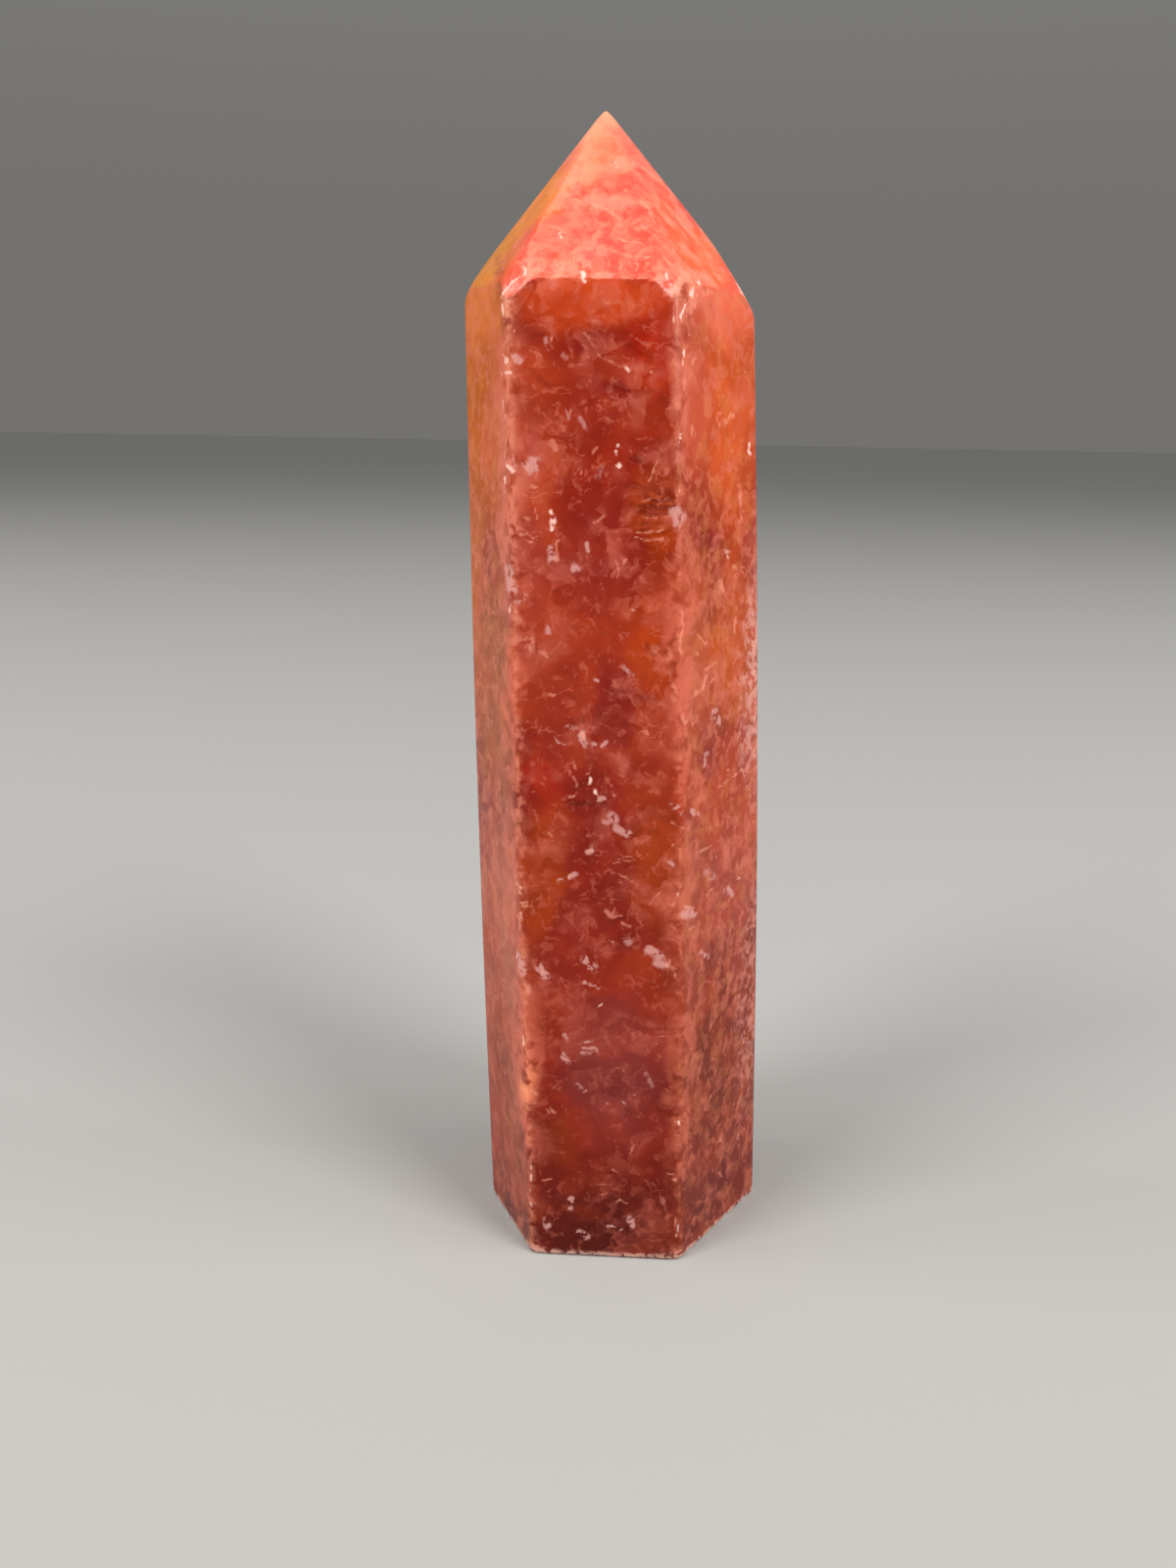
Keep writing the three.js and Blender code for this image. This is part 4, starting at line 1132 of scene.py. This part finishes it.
@dataclass
class StonePoint:
    """The stone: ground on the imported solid's planes, polished, bruised and dressed.

    Attributes:
        voxel: How wide the surface's cells are on the flats.
        fleck_cell: How wide a cell under an inclusion may be, before it is cut once more.
        fleck_margins_mm: How far beside an inclusion cells are cut, each time.
        arris_round: How softly two facets meet.
        rim_width: How far from an edge light comes through.
        arris_width: How far from an edge it is worn.
        wave: How high the flats' waves are.
        wave_scale: The length that the waves' turns are measured in.
        flat_foot: How high above the foot the waves begin.
        cut_near: Cells nearer to an edge than this closeness are cut once.
        chipped_near: Chips are looked for nearer to an edge than this closeness.
        chip_reach: How deep a chip is looked for.
        chip_start: How far outside the surface the look begins.
        shallowest: A chip less deep is left polished.
        full_bruise: A chip this deep is bruised white.
        grit: How rough a chip's hollow is.
        grit_size: How wide that roughness is.
        smallest_facet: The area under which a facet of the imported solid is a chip's.
        same_way: How alike two normals are on one facet, as a cosine.
        same_depth: How alike the places of two faces on one facet are.
        proud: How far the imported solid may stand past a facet.
        front_turn: Where normals point less to the front, a side's patterns are drawn.
        seen_turn: Where normals point less to the front, no inclusion is drawn.
        point_slope: Normals that point up more are the point's.
        clear_turn: Where the point's normals lean more to the left, it is clear.
        clear_share: How milky it is there.
        smooth_deg: Faces that meet under less than this angle are shaded as one.
        normals: The facets' normals.
        offsets: How far the facets are from the origin along them.
    """

    voxel: float = 0.52 * MM
    fleck_cell: float = 0.2 * MM
    fleck_margins_mm: tuple[float, ...] = (0.3, 0.22)
    arris_round: float = 0.1 * MM
    rim_width: float = 1.6 * MM
    arris_width: float = 0.3 * MM
    wave: float = 0.012 * MM
    wave_scale: float = 9 * MM
    flat_foot: float = 1 * MM
    cut_near: float = 0.3
    chipped_near: float = 0.02
    chip_reach: float = 2 * MM
    chip_start: float = 0.3 * MM
    shallowest: float = 0.05 * MM
    full_bruise: float = 0.12 * MM
    grit: float = 0.02 * MM
    grit_size: float = 0.25 * MM
    smallest_facet: float = 0.5 * MM * MM
    same_way: float = 0.99998
    same_depth: float = 0.02 * MM
    proud: float = 0.03 * MM
    front_turn: float = 0.9
    seen_turn: float = 0.15
    point_slope: float = 0.35
    clear_turn: float = 0.35
    clear_share: float = 0.2
    smooth_deg: float = 40.0
    normals: np.ndarray = field(default_factory=lambda: np.zeros((0, 3)))
    offsets: np.ndarray = field(default_factory=lambda: np.zeros(0))

    def read_facets(self, node: bpy.types.Object) -> None:
        """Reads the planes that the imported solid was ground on. Chips are left out: it stands past them.

        Args:
            node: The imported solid.
        """
        faces = node.data.polygons
        count = len(faces)
        normal, centre, area = np.empty(count * 3), np.empty(count * 3), np.empty(count)
        faces.foreach_get("normal", normal)
        faces.foreach_get("center", centre)
        faces.foreach_get("area", area)
        normal, centre = normal.reshape(-1, 3), centre.reshape(-1, 3)
        points = np.array([v.co for v in node.data.vertices])
        planes: list[list[Any]] = []
        for i in np.argsort(-area):
            offset = float(normal[i] @ centre[i])
            for plane in planes:
                if plane[0] @ normal[i] > self.same_way and abs(plane[1] - offset) < self.same_depth:
                    plane[2] += area[i]
                    break
            else:
                planes.append([normal[i], offset, area[i]])
        large = [p for p in planes if p[2] > self.smallest_facet]
        kept = [p for p in large if (points @ p[0]).max() - p[1] < self.proud]
        self.normals = np.array([p[0] for p in kept])
        self.offsets = np.array([p[1] for p in kept])
        log.info("read %d facets", len(kept))

    def grind(self) -> bpy.types.Object:
        """Grinds a rough block down to the facets.

        Returns:
            The ground stone.
        """
        low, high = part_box(NODE)
        allowance = 1.1
        bpy.ops.object.select_all(action="DESELECT")
        bpy.ops.mesh.primitive_cube_add(size=1, location=(low + high) / 2, scale=(high - low) * allowance)
        stone = bpy.context.object
        stone.name = "polished_point"
        bpy.ops.object.transform_apply(location=True, rotation=True, scale=True)
        bpy.ops.object.mode_set(mode="EDIT")
        for normal, offset in zip(self.normals, self.offsets):
            bpy.ops.mesh.select_all(action="SELECT")
            bpy.ops.mesh.bisect(
                plane_co=tuple(normal * offset),
                plane_no=tuple(normal),
                use_fill=True,
                clear_outer=True,
                threshold=1e-7,
            )
        bpy.ops.object.mode_set(mode="OBJECT")
        return stone

    def refine(self, stone: bpy.types.Object) -> None:
        """Cuts the surface fine enough for rounded arrises and small bruises, finest along the arrises.

        Args:
            stone: The ground stone.
        """
        only(stone)
        remesh = stone.modifiers.new("fine", "REMESH")
        remesh.mode = "VOXEL"
        remesh.voxel_size = self.voxel
        bpy.ops.object.modifier_apply(modifier=remesh.name)
        bpy.ops.object.mode_set(mode="EDIT")
        bpy.ops.mesh.select_all(action="DESELECT")
        mesh = bmesh.from_edit_mesh(stone.data)
        centres = np.array([f.calc_center_median() for f in mesh.faces])
        near = self.closeness(centres, self.arris_width) > self.cut_near
        for face, chosen in zip(mesh.faces, near):
            face.select = bool(chosen)
        bmesh.update_edit_mesh(stone.data)
        bpy.ops.mesh.subdivide(number_cuts=1)
        for margin_mm in self.fleck_margins_mm:
            self.select_flecked(stone, margin_mm)
            bpy.ops.mesh.subdivide(number_cuts=1)
        bpy.ops.object.mode_set(mode="OBJECT")

    def select_flecked(self, stone: bpy.types.Object, margin_mm: float) -> None:
        """Selects the faces that carry an inclusion and are too coarse to draw it.

        Args:
            stone: The stone, in edit mode.
            margin_mm: How far beside a stroke faces are selected.
        """
        bpy.ops.mesh.select_all(action="DESELECT")
        mesh = bmesh.from_edit_mesh(stone.data)
        coarse = [f for f in mesh.faces if f.calc_area() > self.fleck_cell**2]
        faces = [f for f in coarse if f.calc_center_median().y < 0]
        centres = np.array([f.calc_center_median() for f in faces])[:, [0, 2]] / MM
        chosen = np.zeros(len(faces), dtype=bool)
        for fleck in FLECKS:
            reach = fleck.half_width * STROKE_REACH + margin_mm
            low = np.min(fleck.path, axis=0) - reach
            high = np.max(fleck.path, axis=0) + reach
            around = np.flatnonzero(((centres > low) & (centres < high)).all(axis=1) & ~chosen)
            chosen[around] = fleck.away(centres[around]) < reach
        for i in np.flatnonzero(chosen):
            faces[i].select = True
        bmesh.update_edit_mesh(stone.data)

    def blend(self, points: np.ndarray, width: float) -> tuple[np.ndarray, np.ndarray]:
        """Measures points against all facets at once, with each meeting of facets rounded over a width.

        Args:
            points: The points, one a row.
            width: How wide a meeting of two facets is rounded.

        Returns:
            How far each point is outside the stone, and the blended normal there: shorter than 1 on edges.
        """
        away = points @ self.normals.T - self.offsets
        most = away.max(1, keepdims=True)
        weight = np.exp((away - most) / width)
        total = weight.sum(1, keepdims=True)
        return (most + width * np.log(total))[:, 0], (weight @ self.normals) / total

    def closeness(self, points: np.ndarray, width: float) -> np.ndarray:
        """How near points are to an edge, from 0 on a flat to 1 on the edge.

        Args:
            points: The points, one a row.
            width: How far from the edge it is felt.

        Returns:
            One value for each point.
        """
        # Two sides' normals are 60 degrees apart. Halfway round the edge both pull equally.
        half_angle_deg = 30
        edge = 1 - math.cos(math.radians(half_angle_deg))
        return np.clip((1 - np.linalg.norm(self.blend(points, width)[1], axis=1)) / edge, 0, 1)

    def polish(self, points: np.ndarray) -> tuple[np.ndarray, np.ndarray]:
        """Brings points onto the polished surface: facets that a hand wheel left very slightly wavy.

        Args:
            points: The points, one a row.

        Returns:
            The points on the surface, and the outward directions there.
        """
        passes = 4
        for _ in range(passes):
            out, slope = self.blend(points, self.arris_round)
            points = points - (out / (slope * slope).sum(1))[:, None] * slope
        slope = self.blend(points, self.arris_round)[1]
        slope /= np.linalg.norm(slope, axis=1, keepdims=True)
        turns = points / self.wave_scale
        one_way = (2.1, 1.3, 0.7)
        other_way = (-0.9, 1.7, 1.1)
        ripple = np.sin(turns @ one_way) * np.sin(turns @ other_way + 1.0)
        standing = points[:, 2] > self.flat_foot
        return points + (self.wave * ripple * standing)[:, None] * slope, slope

    def knock(
        self, points: np.ndarray, outward: np.ndarray, node: bpy.types.Object
    ) -> tuple[np.ndarray, np.ndarray]:
        """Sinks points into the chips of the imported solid, with a little grit in their hollows.

        Args:
            points: The polished points, one a row.
            outward: The outward directions there.
            node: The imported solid.

        Returns:
            The points, and how bruised each is.
        """
        corners = [v.co for v in node.data.vertices]
        solid = BVHTree.FromPolygons(corners, [p.vertices for p in node.data.polygons])
        near = self.closeness(points, self.arris_width) > self.chipped_near
        bruised = np.zeros(len(points))
        sunk = points.copy()
        for i in np.flatnonzero(near):
            start = Vector(points[i])
            way = Vector(outward[i])
            far = solid.ray_cast(start + way * self.chip_start, -way, self.chip_reach)[3]
            depth = far - self.chip_start if far is not None else 0.0
            if depth > self.shallowest:
                grit = self.grit * noise(start / self.grit_size)
                sunk[i] -= outward[i] * (depth + grit)
                bruised[i] = min(1.0, depth / self.full_bruise)
        return sunk, bruised

    def mark(
        self, mesh: bpy.types.Mesh, points: np.ndarray, outward: np.ndarray, bruised: np.ndarray
    ) -> None:
        """Writes on the mesh what its material reads: the marks, the inclusions with the painted glints, and
        the broad colours with their painted shade.

        Args:
            mesh: The stone's mesh.
            points: Its points, one a row.
            outward: The outward directions there.
            bruised: How bruised each point is.
        """
        ahead = -outward[:, 1]
        on_point = outward[:, 2] > self.point_slope
        milky = np.where(outward[:, 0] < -self.clear_turn, self.clear_share, 1.0)
        written = {
            Mark.ARRIS: self.closeness(points, self.arris_width),
            Mark.RIM: self.closeness(points, self.rim_width),
            Mark.BRUISE: bruised,
            Mark.SIDE: (ahead < self.front_turn) & ~on_point,
            Mark.POINT: on_point * milky,
        }
        colours = Colours(points / MM)
        for tint in Tint:
            written[tint] = colours.flecked(tint, ahead > self.seen_turn)
        for kind, values in written.items():
            attribute = mesh.attributes.new(kind.value, "FLOAT", "POINT")
            attribute.data.foreach_set("value", values.astype(np.float32))
        for name, values in ("shade", colours.shade(on_point)), ("glow", colours.glow()):
            attribute = mesh.attributes.new(name, "FLOAT_COLOR", "POINT")
            attribute.data.foreach_set("color", values.ravel())

    def build(self, node: bpy.types.Object, finish: PolishedSunstone) -> bpy.types.Object:
        """Makes the finished stone.

        Args:
            node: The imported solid.
            finish: The stone's material.

        Returns:
            The stone, riding on its body.
        """
        self.read_facets(node)
        stone = self.grind()
        self.refine(stone)
        mesh = stone.data
        points = np.empty(len(mesh.vertices) * 3)
        mesh.vertices.foreach_get("co", points)
        points, outward = self.polish(points.reshape(-1, 3))
        points, bruised = self.knock(points, outward, node)
        mesh.vertices.foreach_set("co", points.ravel())
        self.mark(mesh, points, outward, bruised)
        mesh.update()
        only(stone)
        bpy.ops.object.shade_smooth_by_angle(angle=math.radians(self.smooth_deg))
        mesh.materials.clear()
        mesh.materials.append(finish.material())
        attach(stone, BODY)
        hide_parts(NODE)
        triangles = sum(len(p.vertices) - 2 for p in mesh.polygons)
        log.info("%s: %d triangles, %d bruised points", stone.name, triangles, int((bruised > 0).sum()))
        return stone


@dataclass(frozen=True)
class Softbox:
    """A square studio light behind a diffuser.

    Attributes:
        name: What it is called.
        place: Where it stands.
        aim: What it points at.
        size: The length of its side.
        watts: Its power.
        colour: Its sRGB hex colour.
    """

    name: str
    place: tuple[float, float, float]
    aim: tuple[float, float, float]
    size: float
    watts: float
    colour: str = "#ffffff"

    def build(self) -> bpy.types.Object:
        """Hangs the light.

        Returns:
            The light.
        """
        lamp = bpy.data.lights.new(self.name, "AREA")
        lamp.shape = "SQUARE"
        lamp.size = self.size
        lamp.energy = self.watts
        lamp.color = linear(self.colour)[:3]
        light = bpy.data.objects.new(self.name, lamp)
        light.location = self.place
        light.rotation_euler = (Vector(self.aim) - Vector(self.place)).to_track_quat("-Z", "Y").to_euler()
        bpy.context.scene.collection.objects.link(light)
        return light


@dataclass
class Studio:
    """The floor, the lights and the camera, which stands where the photograph was taken from.

    Attributes:
        eye: Where the camera is.
        heading_deg: How far it looks to the left of straight ahead.
        pitch_deg: How far it looks down.
        roll_deg: How far it is turned anticlockwise about its own axis.
        lens_mm: Its focal length.
        floor_size: How wide the floor is.
        floor_colour: The sRGB hex colour of the floor, and of the room at its height.
        high_colour: The room's colour overhead.
        air: How bright the room is.
        lights: The softboxes.
    """

    eye: tuple[float, float, float] = (3.7 * MM, -126.5 * MM, 73.2 * MM)
    heading_deg: float = 3.02
    pitch_deg: float = 13.87
    roll_deg: float = 1.04
    lens_mm: float = 32.1
    floor_size: float = 60.0
    floor_colour: str = "#a8a6a2"
    high_colour: str = "#f4f6f8"
    air: float = 0.44
    lights: Sequence[Softbox] = field(
        default=(
            Softbox("softbox_front_left", (-0.7, -0.63, 0.82), (0, 0, 0.08), 0.5, 10.5),
            Softbox("softbox_front_right", (0.7, -0.63, 0.82), (0, 0, 0.08), 0.5, 11.5),
            Softbox("softbox_side_left", (-1.2, -0.12, 0.5), (0, 0, 0.08), 0.6, 6.0),
            Softbox("softbox_side_right", (1.2, -0.16, 0.5), (0, 0, 0.08), 0.6, 7.0),
        )
    )

    def floor(self) -> bpy.types.Object:
        """Lays a plain pale floor, so wide that its edge is out of sight.

        Returns:
            The floor.
        """
        bpy.ops.object.select_all(action="DESELECT")
        bpy.ops.mesh.primitive_plane_add(size=self.floor_size)
        floor = bpy.context.object
        floor.name = "studio_floor"
        material = bpy.data.materials.new("matt_paper")
        material.use_nodes = True
        shader = material.node_tree.nodes["Principled BSDF"]
        shader.inputs["Base Color"].default_value = linear(self.floor_colour)
        shader.inputs["Roughness"].default_value = 0.8
        floor.data.materials.append(material)
        return floor

    def world(self) -> None:
        """Fills the room with pale light that fades into the floor's own tone, so that no horizon shows."""
        world = bpy.data.worlds.new("studio_air")
        world.use_nodes = True
        tree = world.node_tree
        up = add_node(tree, "SeparateXYZ", {0: add_node(tree, "TexCoord").outputs["Generated"]}).outputs[2]
        inputs = {"Value": up, "From Min": 0.1, "From Max": 0.9}
        rise = add_node(tree, "MapRange", inputs, interpolation_type="SMOOTHSTEP").outputs["Result"]
        inputs = {"Factor": rise, 6: linear(self.floor_colour), 7: linear(self.high_colour)}
        sky = add_node(tree, "Mix", inputs, data_type="RGBA").outputs[2]
        background = tree.nodes["Background"]
        tree.links.new(sky, background.inputs["Color"])
        background.inputs["Strength"].default_value = self.air
        bpy.context.scene.world = world
        bpy.context.scene.view_settings.view_transform = "Standard"

    def camera(self) -> bpy.types.Object:
        """Sets the camera at the photograph's place, turn, tilt and roll.

        Returns:
            The camera.
        """
        heading, pitch, roll = (math.radians(a) for a in (self.heading_deg, self.pitch_deg, self.roll_deg))
        level = Vector((-math.sin(heading), math.cos(heading), 0))
        ahead = level * math.cos(pitch) - Vector((0, 0, math.sin(pitch)))
        right = ahead.cross(Vector((0, 0, 1))).normalized()
        up = right.cross(ahead)
        turned_right = right * math.cos(roll) + up * math.sin(roll)
        turned_up = up * math.cos(roll) - right * math.sin(roll)
        lens = bpy.data.cameras.new("camera")
        lens.lens = self.lens_mm
        lens.clip_start = MM
        camera = bpy.data.objects.new("camera", lens)
        turn = Matrix((turned_right, turned_up, -ahead)).transposed()
        camera.matrix_world = Matrix.Translation(self.eye) @ turn.to_4x4()
        bpy.context.scene.collection.objects.link(camera)
        bpy.context.scene.camera = camera
        return camera

    def build(self) -> None:
        """Sets up the whole studio."""
        self.floor()
        self.world()
        for softbox in self.lights:
            softbox.build()
        self.camera()
        log.info("studio: %d softboxes", len(self.lights))


def main() -> None:
    """Builds the stone and the studio."""
    logging.basicConfig(level=logging.INFO, format="%(name)s: %(message)s")
    StonePoint().build(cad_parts[NODE], PolishedSunstone())
    Studio().build()
    bpy.context.view_layer.update()


if __name__ == "__main__":
    main()
